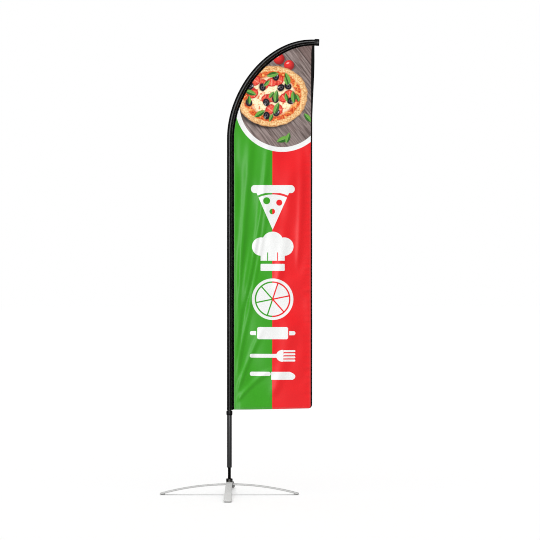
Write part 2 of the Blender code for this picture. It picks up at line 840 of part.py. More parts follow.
def panel_hoist_edge():
    """Edge along the sleeve's flange, bottom to top, stopping short of the free edge."""
    points = [(SLEEVE_FLANGE + FIT_GAP, PANEL_BOTTOM_LEFT_Z)]
    inset = BINDING_FOLD + FIT_GAP
    for share in steps(0, 1, BEND_STEPS):
        point, _, flagward = bend_frame(share)
        reach = taper(share, SLEEVE_FLANGE, SLEEVE_TIP_FLANGE) + FIT_GAP
        edge = point + flagward * reach
        if edge.x < fly_x(edge.z) - inset:
            points.append((edge.x, edge.z))
    return points


def panel_free_edge():
    """Edge inside the binding, then the round bottom corner, top to bottom."""
    inset = BINDING_FOLD + FIT_GAP
    heights = [FLY_TOP_Z] + steps(FLY_SWELL_TOP_Z, FLY_SWELL_BOTTOM_Z, FLY_STEPS)
    points = [(fly_x(z) - inset, z) for z in heights]
    centre_x = FLY_X - FLY_CORNER_RADIUS
    centre_z = PANEL_BOTTOM_RIGHT_Z + FLY_CORNER_RADIUS
    radius = FLY_CORNER_RADIUS - inset
    for turn in steps(0, math.pi / 2, FLY_STEPS):
        points.append((centre_x + radius * math.cos(turn), centre_z - radius * math.sin(turn)))
    return points


def flag_panel():
    """The flag's cloth, as a thin flat plate."""
    outline = panel_hoist_edge() + panel_free_edge()
    faces = []
    for depth in (-PANEL_HALF_THICKNESS, PANEL_HALF_THICKNESS):
        faces.append([(x, depth, z) for x, z in outline])
    skinned("flag_panel", faces, printed_cloth)


def cap_loop(along, scale):
    """Squared ellipse round the sleeve's end, at a distance past it."""
    point, heading, flagward = bend_frame(1)
    centre = point + heading * along + flagward * CAP_CENTRE_OFFSET
    power = 2 / CAP_SQUARENESS
    loop = []
    for i in range(CAP_SEGMENTS):
        angle = math.tau * (i + 0.5) / CAP_SEGMENTS
        high = math.copysign(abs(math.cos(angle)) ** power, math.cos(angle)) * CAP_HALF_HEIGHT
        deep = math.copysign(abs(math.sin(angle)) ** power, math.sin(angle)) * CAP_HALF_DEPTH
        loop.append(centre + flagward * high * scale + Vector((0, deep * scale, 0)))
    return loop


def socket_loop(along):
    point, heading, flagward = bend_frame(1)
    loop = []
    for i in range(CAP_SEGMENTS):
        angle = math.tau * (i + 0.5) / CAP_SEGMENTS
        across = flagward * math.cos(angle) + Vector((0, math.sin(angle), 0))
        loop.append(point + heading * along + across * CAP_SOCKET_RADIUS)
    return loop


def tip_cap():
    """Grooved plug over the sleeve's end, with a blind socket for the rod."""
    groove_end = CAP_GROOVE_START + CAP_GROOVE_WIDTH
    profile = [
        (FIT_GAP, CAP_EDGE_SCALE),
        (CAP_EDGE, 1.0),
        (CAP_GROOVE_START, 1.0),
        (CAP_GROOVE_START + CAP_GROOVE_SLOPE, CAP_GROOVE_SCALE),
        (groove_end - CAP_GROOVE_SLOPE, CAP_GROOVE_SCALE),
        (groove_end, 1.0),
        (CAP_LENGTH - CAP_EDGE, 1.0),
        (CAP_LENGTH, CAP_EDGE_SCALE),
    ]
    loops = [socket_loop(CAP_SOCKET_DEPTH), socket_loop(FIT_GAP)]
    loops += [cap_loop(along, scale) for along, scale in profile]
    skinned("tip_cap", loops, black_plastic)


def main():
    clear_scene()
    axis = bpy.data.objects.new("pole_axis", None)
    axis.location = (AXIS_X, 0, 0)
    bpy.context.scene.collection.objects.link(axis)
    cross_base()
    bearing_housing()
    friction_washer()
    pivot_washer()
    pivot_nut()
    bearing_races()
    bearing_balls()
    ball_cage()
    retaining_ring()
    dust_cover()
    spindle()
    spindle_circlip()
    o_rings()
    bottom_pole()
    mast_sections()
    mast_collar()
    tip_rod()
    pole_sleeve()
    flag_panel()
    fly_edge_binding()
    tip_cap()


main()
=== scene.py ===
"""Looks of the feather flag: sewn and simulated cloth, turned and painted metal, and a plain white studio.

Everything is in metres in the row's frame. The pole's axis is vertical at x = AXIS_X, and shapes made
round it are built about x = 0 and then moved there.
"""

import math
from functools import partialmethod, reduce

import bmesh
import bpy
import numpy as np
from mathutils import Matrix, Vector


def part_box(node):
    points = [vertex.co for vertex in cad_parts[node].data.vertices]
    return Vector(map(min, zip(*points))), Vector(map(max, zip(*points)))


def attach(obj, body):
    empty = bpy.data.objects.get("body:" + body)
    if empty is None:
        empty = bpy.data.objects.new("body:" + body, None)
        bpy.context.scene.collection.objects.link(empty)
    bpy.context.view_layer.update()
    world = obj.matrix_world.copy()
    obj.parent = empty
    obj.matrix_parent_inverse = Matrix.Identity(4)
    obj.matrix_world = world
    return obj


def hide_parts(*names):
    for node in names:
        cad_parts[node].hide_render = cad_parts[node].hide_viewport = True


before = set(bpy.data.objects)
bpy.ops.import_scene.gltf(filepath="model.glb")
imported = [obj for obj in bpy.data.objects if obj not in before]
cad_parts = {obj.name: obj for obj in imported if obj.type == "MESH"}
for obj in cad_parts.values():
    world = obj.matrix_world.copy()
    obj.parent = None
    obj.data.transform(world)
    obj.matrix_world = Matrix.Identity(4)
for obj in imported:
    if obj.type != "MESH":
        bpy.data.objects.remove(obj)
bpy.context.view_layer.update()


def middle(node):
    low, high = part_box(node)
    return (low + high) / 2


AXIS_X = middle("spindle").x
TO_AXIS = Vector((AXIS_X, 0, 0))
UP = Vector((0, 0, 1))
DEPTH = Vector((0, 1, 0))
MM = 0.001

# Bend of the pole, as the CAD has it: one cubic curve from the straight pole to the tip
BEND_START_Z = 2.1006
BEND_LOWER_HANDLE = 0.2894
BEND_UPPER_HANDLE = 0.2632
BEND_END = Vector((0.5020, 0, 2.6732))
BEND_END_DROOP = 0.0467

# Sleeve and panel outline, as the CAD has them
SLEEVE_BOTTOM_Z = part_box("pole_sleeve")[0].z
SLEEVE_RADIUS = 14.3 * MM
SLEEVE_TIP_RADIUS = 12.4 * MM
SLEEVE_WALL = 0.9 * MM
SLEEVE_FLANGE = 27.4 * MM
SLEEVE_TIP_FLANGE = 23.6 * MM
FLANGE_HALF = 1.2 * MM
FLANGE_SLOT = 0.4 * MM
FLANGE_SLOT_DEPTH = 6.0 * MM
PANEL_BOTTOM_LEFT_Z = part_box("flag_panel")[0].z
PANEL_BOTTOM_RIGHT_Z = PANEL_BOTTOM_LEFT_Z + 9 * MM
FLY_X = 0.4890
FLY_SWELL = 0.0130
FLY_SWELL_BOTTOM_Z = 2.1800
FLY_SWELL_TOP_Z = 2.5700
FLY_TOP_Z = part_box("fly_edge_binding")[1].z
FLY_CORNER_RADIUS = 24 * MM
BINDING_FOLD = 2.4 * MM
BINDING_WIDTH = 8.7 * MM
BINDING_HALF = 1.2 * MM
BINDING_SLOT = 0.45 * MM
TAPE_CORNER_SHARE = 0.7

# Cloth
CLOTH_COLUMNS = 64
CORNER_COLUMNS = 10
CORNER_BLEND = 70 * MM
CLOTH_ROWS = 290
CLOTH_THICKNESS = 0.3 * MM
CLOTH_FRAMES = 24
CLOTH_SETTINGS = {
    "quality": 5, "mass": 0.015, "air_damping": 2.0, "tension_stiffness": 30, "compression_stiffness": 30,
    "shear_stiffness": 12, "bending_stiffness": 0.2, "shrink_min": -0.004,
}
CLOTH_DRIFT = 9 * MM
CLOTH_SAG = 1.5 * MM
CREASE_SMOOTHING = 5
HEM_HEIGHT = 11 * MM
STITCH_PITCH = 5.5 * MM
STITCH_LENGTH = 3.6 * MM
STITCH_RADIUS = 0.28 * MM

# Light
AMBIENT = 0.42
AMBIENT_IN_GLOSS = 0.02
BACKDROP = 1.0
FLOOR_LIFT = 0.27
KEY_STRENGTH = 2.35
TOP_STRENGTH = 1.25
FRONT_POWER = 235
CLOTH_POWER = 200

# Print
SPLIT_X = 0.253
SIGNS_X = 0.2555
RING_CENTRE = (0.309, 2.301)
RING_OUTER = 0.277
RING_INNER = 0.249


def srgb(red, green, blue):
    """Linear colour of an 8-bit display colour."""
    def linear(value):
        share = value / 255
        return share / 12.92 if share <= 0.04045 else ((share + 0.055) / 1.055) ** 2.4

    return linear(red), linear(green), linear(blue)


PRINT_GREEN = srgb(54, 156, 23)
PRINT_RED = srgb(226, 18, 26)
PRINT_WHITE = srgb(228, 229, 228)
# Cloth above this height takes the picture's material, below it the message's
PICTURE_BOTTOM_Z = RING_CENTRE[1] - RING_OUTER - 2 * MM


# ---------------------------------------------------------------------------------------------
# Materials: a small layer over shader nodes


class Field:
    """A value in a node tree. Arithmetic on it adds Math nodes."""

    def __init__(self, shader, socket):
        self.shader = shader
        self.socket = socket

    def math(self, operation, *others):
        feeds = dict(enumerate((self, *others)))
        return self.shader.made("ShaderNodeMath", 0, feeds, operation=operation)

    def __neg__(self):
        return self * -1.0

    def ramp(self, start, end, at_start=0.0, at_end=1.0, kind="SMOOTHSTEP"):
        """Runs from at_start to at_end as the value goes from start to end, and stays there."""
        feeds = {"Value": self, "From Min": start, "From Max": end, "To Min": at_start, "To Max": at_end}
        return self.shader.made("ShaderNodeMapRange", "Result", feeds, interpolation_type=kind)

    def inside(self, softness=0.4 * MM):
        """1 where a signed distance is negative, 0 outside."""
        return self.ramp(-softness, softness, 1.0, 0.0, "LINEAR")


for method, operation in (
    ("__add__", "ADD"), ("__sub__", "SUBTRACT"), ("__mul__", "MULTIPLY"), ("abs", "ABSOLUTE"),
    ("sine", "SINE"), ("root", "SQRT"), ("low", "MINIMUM"), ("high", "MAXIMUM"),
):
    setattr(Field, method, partialmethod(Field.math, operation))


class Shader:
    """One Principled material and the calls that build its nodes."""

    def __init__(self, name, roughness=0.5, metallic=0.0):
        self.material = bpy.data.materials.new(name)
        self.material.use_nodes = True
        self.tree = self.material.node_tree
        self.surface = self.tree.nodes["Principled BSDF"]
        self.set(Roughness=roughness, Metallic=metallic)
        self.relief = {}

    def feed(self, socket, value):
        if isinstance(value, Field):
            self.tree.links.new(value.socket, socket)
        elif isinstance(value, tuple) and socket.type == "RGBA":
            socket.default_value = (*value, 1.0)
        else:
            socket.default_value = value

    def set(self, **inputs):
        for name, value in inputs.items():
            self.feed(self.surface.inputs[name.replace("_", " ")], value)

    def node(self, kind, feeds, **settings):
        made = self.tree.nodes.new(kind)
        for key, value in settings.items():
            setattr(made, key, value)
        for name, value in feeds.items():
            self.feed(made.inputs[name], value)
        return made

    def made(self, kind, output, feeds, **settings):
        """One output of a new node."""
        return Field(self, self.node(kind, feeds, **settings).outputs[output])

    def place(self):
        """The point in the row's frame, fixed to the piece."""
        return self.made("ShaderNodeTexCoord", "Object", {})

    def attribute(self, name):
        return self.made("ShaderNodeAttribute", "Vector", {}, attribute_name=name)

    def parts(self, vector):
        return [Field(self, output) for output in self.node("ShaderNodeSeparateXYZ", {0: vector}).outputs]

    def local(self, vector, centre=(0, 0, 0), turn=0.0, size=(1, 1, 1)):
        """Coordinates of a spot: moved to its centre, turned back and divided by its size."""
        feeds = {"Vector": vector, "Location": centre, "Rotation": (0, 0, turn), "Scale": size}
        return self.made("ShaderNodeMapping", 0, feeds, vector_type="TEXTURE")

    def oval(self, vector, x, z, wide, tall, turn=0.0):
        """Distance from an oval in shares of its own size: negative inside."""
        spot = self.local(vector, (x, z, 0), turn, (wide, tall, 1))
        return self.made("ShaderNodeVectorMath", "Value", {0: spot}, operation="LENGTH") - 1.0

    def noise(self, vector, scale, detail=3.0, roughness=0.5, stretch=(1, 1, 1)):
        if stretch != (1, 1, 1):
            vector = self.local(vector, size=stretch)
        feeds = {"Vector": vector, "Scale": scale, "Detail": detail, "Roughness": roughness}
        return self.made("ShaderNodeTexNoise", "Fac", feeds)

    def mix(self, share, first, second):
        return self.made("ShaderNodeMix", 2, {"Factor": share, 6: first, 7: second}, data_type="RGBA")

    def bump(self, height, distance, strength=1.0):
        """Adds a bump layer, height in 0..1 over the given distance."""
        feeds = {"Height": height, "Distance": distance, "Strength": strength, **self.relief}
        self.relief = {"Normal": self.made("ShaderNodeBump", 0, feeds)}
        self.set(**self.relief)


def weave(across, along, pitch):
    """Plain weave: threads that pass over and under each other, 0..1."""
    first, second = ((place * (math.tau / pitch)).sine() for place in (across, along))
    return (first * second).abs()


# ---------------------------------------------------------------------------------------------
# Materials of the hard parts


def powder_coat():
    """Pale grey powder coat: orange peel, slight cloudiness and rubbed edges."""
    shader = Shader("pale_powder_coat")
    place = shader.place()
    tone = shader.mix(shader.noise(place, 14, 4), srgb(175, 175, 174), srgb(183, 183, 182))
    worn = shader.noise(place, 420, 2).ramp(0.70, 0.78)
    shader.set(Base_Color=shader.mix(worn * 0.25, tone, srgb(150, 150, 150)))
    shader.set(Roughness=shader.noise(place, 60, 3).ramp(0.3, 0.7, 0.36, 0.50))
    shader.bump(shader.noise(place, 900, 1), 0.12 * MM, 0.5)
    return shader.material


def shade(colour, factor, lift=0.0):
    return tuple(value * factor + lift for value in colour)


def rubber(name, colour):
    """Matt rubber with dust on it."""
    shader = Shader(name, roughness=0.8)
    place = shader.place()
    dust = shader.noise(place, 90, 4).ramp(0.5, 0.8)
    shader.set(Base_Color=shader.mix(dust * 0.5, colour, shade(colour, 0.6, 0.10)))
    shader.bump(shader.noise(place, 1500, 2), 0.1 * MM, 0.6)
    return shader.material


def turned_metal(name, colour, roughness, lines=1.0):
    """Metal with fine rings from the lathe, slightly uneven tone and dust in the low spots."""
    shader = Shader(name, metallic=1.0)
    place = shader.place()
    rings = shader.noise(place, 55, 3, 0.7, (1, 1, 0.02))
    blotch = shader.noise(place, 70, 4).ramp(0.35, 0.75)
    shader.set(Base_Color=shader.mix(blotch, colour, shade(colour, 0.72)))
    shader.set(Roughness=rings.ramp(0.3, 0.7, roughness * 0.8, roughness * 1.25))
    shader.bump(rings, 0.03 * MM, lines)
    return shader.material


def drawn_aluminium():
    """Dark grey anodised tube with the faint lengthwise lines of drawing."""
    shader = Shader("dark_anodised", metallic=0.75)
    place = shader.place()
    lines = shader.noise(place, 900, 3, 0.6, (1, 1, 60))
    base = shader.mix(shader.noise(place, 25, 3), srgb(84, 84, 85), srgb(97, 97, 98))
    shader.set(Base_Color=shader.mix(lines.ramp(0.6, 0.85) * 0.4, base, srgb(150, 150, 151)))
    shader.set(Roughness=lines.ramp(0.2, 0.8, 0.32, 0.42), Specular_Tint=(0.1, 0.1, 0.1))
    shader.bump(lines, 0.02 * MM, 0.4)
    return shader.material


def striped(name, noise, first, second, glossiest, dullest, **settings):
    """Two tones and a range of roughness that follow one stretched noise."""
    shader = Shader(name)
    stripes = shader.noise(shader.place(), *noise)
    shader.set(Base_Color=shader.mix(stripes, first, second), **settings)
    shader.set(Roughness=stripes.ramp(0.3, 0.7, glossiest, dullest))
    return shader.material


def black_plated():
    """Black plating over the rings of turning."""
    rings = (45, 3, 0.6, (1, 1, 0.03))
    return striped("black_plated", rings, srgb(2, 2, 2), srgb(6, 6, 6), 0.27, 0.33, Specular_IOR_Level=0.1)


def moulded_plastic(name, colour, roughness):
    """Injection-moulded plastic: fine spark-eroded grain and a little flow marking."""
    shader = Shader(name)
    place = shader.place()
    flow = shader.noise(place, 45, 3)
    shader.set(Base_Color=shader.mix(flow, colour, shade(colour, 1.6, 0.002)))
    shader.set(Roughness=flow.ramp(0.3, 0.7, roughness * 0.88, roughness * 1.15))
    shader.bump(shader.noise(place, 2200, 1), 0.05 * MM, 0.5)
    return shader.material


def glass_fibre():
    """Black fibreglass rod: lengthwise strands just under a clear surface."""
    strands = (700, 2, 0.7, (1, 1, 40))
    return striped("glass_fibre", strands, srgb(14, 14, 15), srgb(44, 44, 46), 0.22, 0.36)


# ---------------------------------------------------------------------------------------------
# Materials of the soft parts


def black_cloth(name, colour, roughness, gloss, stretched=None):
    """Tight black polyester: plain weave, slub variation, and gloss only where it is stretched."""
    shader = Shader(name)
    flat = shader.attribute("flat")
    across, along, _ = shader.parts(flat)
    if stretched:
        first, last = stretched
        tight = across.ramp(first - 2 * MM, first) * across.ramp(last, last + 2 * MM, 1.0, 0.0)
        gloss = tight.ramp(0.0, 1.0, 0.0, gloss)
    slubs = shader.noise(flat, 500, 2, 0.5, (1, 8, 1))
    base = shader.mix(slubs, colour, shade(colour, 2.2, 0.001))
    shader.set(Base_Color=base, Specular_IOR_Level=gloss)
    shader.set(Roughness=slubs.ramp(0.3, 0.7, roughness * 0.9, roughness * 1.12))
    shader.bump(weave(across, along, 1.1 * MM), 0.05 * MM, 0.2)
    return shader.material


def thread(name, colour):
    """Twisted sewing thread."""
    shader = Shader(name, roughness=0.6)
    twist = shader.noise(shader.place(), 2500, 1)
    shader.set(Base_Color=shader.mix(twist, colour, shade(colour, 0.7)))
    shader.bump(twist, 0.1 * MM, 0.5)
    return shader.material


# ---------------------------------------------------------------------------------------------
# The print: shapes are signed distances in the flat cloth, x across and z up from the pole


class Print:
    """Shapes on the flat cloth, placed from an origin in shares of a size."""

    def __init__(self, shader, flat, origin=(0.0, 0.0), size=1.0):
        self.shader = shader
        self.flat = flat
        self.origin = origin
        self.size = size

    def at(self, x, z, size):
        return Print(self.shader, self.flat, (x, z), size)

    def spot(self, x, z, turn=0.0):
        """Coordinates about a point, in metres."""
        centre = (self.origin[0] + x * self.size, self.origin[1] + z * self.size, 0)
        return self.shader.local(self.flat, centre, turn)

    def disc(self, x, z, radius):
        length = self.shader.made("ShaderNodeVectorMath", "Value", {0: self.spot(x, z)}, operation="LENGTH")
        return length - radius * self.size

    def oval(self, x, z, wide, tall, turn=0.0):
        x, z = self.origin[0] + x * self.size, self.origin[1] + z * self.size
        return self.shader.oval(self.flat, x, z, wide * self.size, tall * self.size, turn)

    def bar(self, x, z, half_wide, half_tall, corner=0.0, turn=0.0):
        across, up, _ = self.shader.parts(self.spot(x, z, turn))
        side = across.abs() - (half_wide - corner) * self.size
        rise = up.abs() - (half_tall - corner) * self.size
        if corner == 0.0:
            return side.high(rise)
        side, rise = side.high(0.0), rise.high(0.0)
        return (side * side + rise * rise).root() - corner * self.size

    def halfplane(self, x, z, turn=0.0):
        """Negative on the side that the turned +x direction points away from."""
        return self.shader.parts(self.spot(x, z, turn))[0]


def union(*shapes):
    return reduce(Field.low, shapes)


def overlap(*shapes):
    return reduce(Field.high, shapes)


def slice_icon(art):
    """Wedge of pizza, point down, with a rounded crust and three toppings left out of the white."""
    lean = math.radians(24)
    tip = (0, -0.52)
    wedge = overlap(art.halfplane(*tip, -lean), art.halfplane(*tip, math.pi + lean), art.disc(*tip, 0.86))
    groove = overlap(art.disc(*tip, 0.80), -art.disc(*tip, 0.755))
    crust = art.bar(0, 0.35, 0.47, 0.085, 0.08)
    holes = union(art.disc(-0.13, 0.10, 0.075), art.disc(0.14, 0.06, 0.065), art.disc(-0.01, -0.13, 0.060))
    return union(overlap(wedge, -groove, -holes), crust)


def hat_icon(art):
    """Cook's hat: three round puffs over a band."""
    puffs = union(
        art.disc(-0.28, 0.12, 0.22),
        art.disc(0.28, 0.12, 0.22),
        art.disc(0, 0.22, 0.26),
        art.bar(0, -0.02, 0.29, 0.20),
    )
    pleats = union(art.bar(-0.12, -0.12, 0.012, 0.10), art.bar(0.12, -0.12, 0.012, 0.10))
    return union(overlap(puffs, -pleats), art.bar(0, -0.38, 0.29, 0.085, 0.02))


def pie_icon(art):
    """Whole pizza seen from above, cut in six, with a rim."""
    rim = overlap(art.disc(0, 0, 0.43), -art.disc(0, 0, 0.395))
    cuts = [-art.bar(0, 0, 0.41, 0.016, turn=0.2 + i * math.pi / 3) for i in range(3)]
    return overlap(art.disc(0, 0, 0.5), -rim, *cuts)


def pin_icon(art):
    """Rolling pin lying flat."""
    grips = overlap(art.bar(0, 0, 0.5, 0.0457, 0.043), -art.bar(0, 0, 0.365, 0.161))
    return union(art.bar(0, 0, 0.34, 0.1343, 0.043), grips)


def cutlery_icon(art):
    """Fork over knife, both lying flat."""
    fork = 0.1989
    knife = -0.1989
    upright = math.pi / 2
    handle = art.bar(-0.19, fork, 0.31, 0.0421, 0.0382)
    root = overlap(art.oval(0.22, fork, 0.14, 0.13), art.halfplane(0.24, 0))
    tines = [art.bar(0.37, fork + 0.0344 * step, 0.13, 0.0214, 0.0207) for step in (-3, -1, 1, 3)]
    grip = art.bar(-0.27, knife, 0.23, 0.0459, 0.0421)
    blade = overlap(
        art.oval(-0.02, knife - 0.0574, 0.52, 0.1606),
        -art.halfplane(-0.03, 0),
        art.halfplane(0, knife + 0.0459, upright),
        -art.halfplane(0, knife - 0.13, upright),
    )
    return union(handle, root, *tines, grip, blade)


def icons(art):
    """Five plain kitchen signs, in the column where the flag carries its message."""
    column = (
        (slice_icon, 1.708, 0.275),
        (hat_icon, 1.436, 0.245),
        (pie_icon, 1.155, 0.245),
        (pin_icon, 0.955, 0.268),
        (cutlery_icon, 0.768, 0.268),
    )
    return union(*(icon(art.at(SIGNS_X, height, size)) for icon, height, size in column))


def planks(art):
    """Weathered grey-brown boards, running down to the right."""
    shader = art.shader
    board = shader.local(art.flat, (0.43, 2.6, 0), math.radians(-52))
    _, across, _ = shader.parts(board)
    grain = shader.noise(board, 1.0, 6, 0.65, (0.16, 0.010, 1))
    streak = shader.noise(board, 1.0, 3, 0.6, (0.05, 0.0025, 1))
    patch = shader.noise(board, 1.0, 3, 0.5, (0.09, 0.05, 1))
    tone = shader.mix(grain.ramp(0.32, 0.68), srgb(84, 70, 66), srgb(158, 142, 138))
    tone = shader.mix(streak.ramp(0.55, 0.75) * 0.5, tone, srgb(70, 58, 55))
    tone = shader.mix(patch.ramp(0.5, 0.8) * 0.4, tone, srgb(120, 92, 86))
    tone = shader.mix((-across).inside(1 * MM) * 0.45, tone, srgb(105, 78, 74))
    seam = (across.abs() - 2 * MM).inside(2.5 * MM)
    return shader.mix(seam * 0.85, tone, srgb(44, 34, 32))


def pizza_base(art, under, pizza):
    """Crust, sauce and cheese as uneven rings of one oval, with a shadow on the boards."""
    shader = art.shader
    x, z, wide, tall, turn = pizza
    shape = art.oval(*pizza) + (shader.noise(art.flat, 22, 3) - 0.5) * 0.10
    fine = shader.noise(art.flat, 120, 4, 0.6)
    lumps = shader.noise(art.flat, 42, 3, 0.6)
    inner = shape + (lumps - 0.5) * 0.16
    shadow = art.oval(x - 10 * MM, z - 12 * MM, wide, tall, turn).ramp(-0.06, 0.07, 0.85, 0.0)
    result = shader.mix(shadow, under, srgb(30, 22, 20))
    crust = shader.mix(fine.ramp(0.38, 0.62), srgb(248, 216, 160), srgb(222, 158, 92))
    crust = shader.mix(lumps.ramp(0.54, 0.68) * 0.7, crust, srgb(172, 98, 44))
    crust = shader.mix(shape.ramp(-0.07, 0.0) * 0.6, crust, srgb(176, 112, 62))
    sauce = shader.mix(fine.ramp(0.38, 0.6), srgb(186, 44, 12), srgb(232, 112, 40))
    sauce = shader.mix(lumps.ramp(0.50, 0.62) * 0.8, sauce, srgb(250, 196, 112))
    cheese = shader.mix(fine.ramp(0.45, 0.7), srgb(253, 240, 204), srgb(244, 206, 136))
    cheese = shader.mix(lumps.ramp(0.53, 0.62) * 0.85, cheese, srgb(222, 92, 40))
    for share, layer in ((shape.inside(0.012), crust), ((inner + 0.17).inside(0.02), sauce),
                         ((inner + 0.36).inside(0.05), cheese)):
        result = shader.mix(share, result, layer)
    return result


def scatter(art, spacing, shift, pizza, margin):
    """Random spots on the pizza: coordinates about the nearest one and whether it is used."""
    shader = art.shader
    moved = art.spot(-shift, -shift)
    feeds = {"Vector": moved, "Scale": 1 / spacing, "Randomness": 0.6}
    cells = shader.node("ShaderNodeTexVoronoi", feeds, voronoi_dimensions="2D").outputs
    centre = Field(shader, cells["Position"])
    random = shader.made("ShaderNodeSeparateColor", 0, {0: Field(shader, cells["Color"])})
    offset = shader.made("ShaderNodeVectorMath", 0, {0: moved, 1: centre}, operation="SUBTRACT")
    feeds = {"Vector": offset, "Angle": random * math.tau}
    turned = shader.made("ShaderNodeVectorRotate", 0, feeds, rotation_type="Z_AXIS")
    x, z, wide, tall, turn = pizza
    place = shader.oval(centre, x + shift, z + shift, wide, tall, turn)
    return turned, (place + margin).inside(0.001)


def olive(art, under, spot, used, size):
    """Sliced black olive with its hole and a glint."""
    shader = art.shader
    shadow = shader.oval(spot, -1 * MM, -2 * MM, size * 1.25, size * 1.1).ramp(-0.3, 0.1, 0.6, 0.0)
    result = shader.mix(shadow * used, under, srgb(110, 44, 20))
    for place, softness, share, colour in (
        ((0, 0, 1, 0.84), 0.04, 1, srgb(28, 26, 34)),
        ((0.1, 0, 0.46, 0.38), 0.12, 1, srgb(86, 78, 88)),
        ((0.1, 0, 0.26, 0.20), 0.15, 1, srgb(12, 10, 14)),
        ((-0.4, 0.45, 0.3, 0.11), 0.5, 0.75, srgb(200, 200, 210)),
    ):
        layer = shader.oval(spot, *(size * value for value in place)).inside(softness)
        result = shader.mix(layer * used * share, result, colour)
    return result


def tomato_half(art, under, spot, used, size):
    """Half a cherry tomato, cut side up: skin, pale wall, wet flesh and seeds."""
    shader = art.shader
    shadow, skin_part, flesh = (
        shader.oval(spot, 0, 0, size * wide, size * tall)
        for wide, tall in ((1.15, 0.9), (1, 0.76), (0.82, 0.58))
    )
    result = shader.mix(shadow.ramp(-0.3, 0.1, 0.5, 0.0) * used, under, srgb(120, 30, 12))
    result = shader.mix(skin_part.inside(0.04) * used, result, srgb(200, 26, 22))
    pale = shader.mix(shader.noise(art.flat, 160, 2).ramp(0.4, 0.6), srgb(238, 96, 76), srgb(222, 48, 38))
    flesh = flesh.inside(0.08) * used
    result = shader.mix(flesh, result, pale)
    wall = (shader.parts(spot)[0].abs() - size * 0.09).inside(1 * MM)
    result = shader.mix(wall * flesh * 0.7, result, srgb(248, 160, 140))
    cells = shader.made("ShaderNodeTexVoronoi", "Distance", {"Vector": art.flat, "Scale": 210})
    return shader.mix(cells.ramp(0.16, 0.26, 1.0, 0.0) * flesh * 0.9, result, srgb(250, 214, 120))


def leaf(art, under, spot, used, size):
    """Basil leaf: two arcs meeting in points, a pale midrib, veins and a darker far half."""
    shader = art.shader
    slim = 0.40
    across, up, _ = shader.parts(shader.local(spot, size=(size, size, 1)))
    shape = up.abs() + across * across * slim - slim
    veins = ((across.abs() - up.abs() * 0.6) * 26.0).sine().abs().ramp(0.0, 0.25, 1.0, 0.0)
    tone = shader.mix(up.ramp(-0.1, 0.12), srgb(38, 104, 28), srgb(104, 168, 62))
    tone = shader.mix(veins * 0.25, tone, srgb(150, 200, 110))
    tone = shader.mix((up.abs() - 0.018).inside(0.012) * 0.8, tone, srgb(176, 214, 140))
    result = shader.mix(shape.ramp(-0.05, 0.12, 0.5, 0.0) * used, under, srgb(70, 40, 14))
    return shader.mix(shape.inside(0.015) * used, result, tone)


def whole_tomato(art, under, x, z, size):
    """Cherry tomato with its shadow, a darker rim and a glint."""
    shader = art.shader
    shadow = art.disc(x + 5 * MM, z - 6 * MM, size).ramp(-6 * MM, 8 * MM, 0.6, 0.0)
    result = shader.mix(shadow, under, srgb(50, 36, 34))
    rim = art.disc(x - size * 0.3, z + size * 0.3, 0).ramp(size * 0.3, size * 1.35)
    tone = shader.mix(rim, srgb(228, 40, 36), srgb(150, 14, 18))
    result = shader.mix(art.disc(x, z, size).inside(), result, tone)
    glint = art.oval(x - size * 0.25, z + size * 0.4, size * 0.28, size * 0.14, 0.4)
    return shader.mix(glint.inside(0.4) * 0.8, result, srgb(250, 196, 190))


def food_picture(art):
    """A pizza of the maker's own arrangement on old boards, with tomatoes and basil beside it."""
    pizza = (0.252, 2.352, 0.208, 0.178, 0.12)
    result = planks(art)
    for tomato in ((0.292, 2.572, 0.033), (0.352, 2.535, 0.030)):
        result = whole_tomato(art, result, *tomato)
    result = pizza_base(art, result, pizza)
    # Toppings as (kind, spacing, shift, share of the pizza left free, size)
    for kind, spacing, shift, margin, size in (
        (tomato_half, 0.082, 0.131, 0.30, 0.031),
        (tomato_half, 0.105, 0.517, 0.30, 0.033),
        (olive, 0.078, 0.283, 0.26, 0.0225),
        (leaf, 0.105, 0.719, 0.24, 0.037),
        (leaf, 0.096, 0.953, 0.24, 0.026),
    ):
        result = kind(art, result, *scatter(art, spacing, shift, pizza, margin), size)
    leaves = ((0.318, 2.098, 0.35, 0.042), (0.345, 2.106, 1.25, 0.034), (0.462, 2.225, -0.9, 0.034))
    for x, z, turn, size in leaves:
        result = leaf(art, result, art.spot(x, z, turn), 1.0, size)
    return result


def picture_and_ring(art, x, z, ground):
    """Picture that fills the top of the flag and ends in a white half ring."""
    shader = art.shader
    to_ring = art.disc(*RING_CENTRE, 0.0)
    picture_part = (to_ring - RING_INNER).inside().high((-(z - RING_CENTRE[1])).inside())
    colour = shader.mix((to_ring - RING_OUTER).inside(), ground, PRINT_WHITE)
    return shader.mix(picture_part, colour, food_picture(art))


def message(art, x, z, ground):
    """Signs over the ground colours, with painted shade: the doubled cloth of the fly and lower hems is drawn
    a little greyer, as if less light came through it.
    """
    shader = art.shader
    ground = shader.mix(icons(art).inside(), ground, PRINT_WHITE)
    fly_hem_shade = (-(x - (FLY_X - BINDING_WIDTH - 7 * MM))).inside(1.5 * MM)
    lower_hem_shade = (z - (PANEL_BOTTOM_RIGHT_Z + 4 * MM)).inside(4 * MM)
    seam = (x - (SLEEVE_FLANGE + 5 * MM)).inside(2 * MM)
    ground = shader.mix(seam * 0.06, ground, PRINT_WHITE)
    # Painted shade: a grey band over the doubled cloth of the fly and lower hems.
    return shader.mix(fly_hem_shade.high(lower_hem_shade) * 0.13, ground, srgb(110, 110, 110))


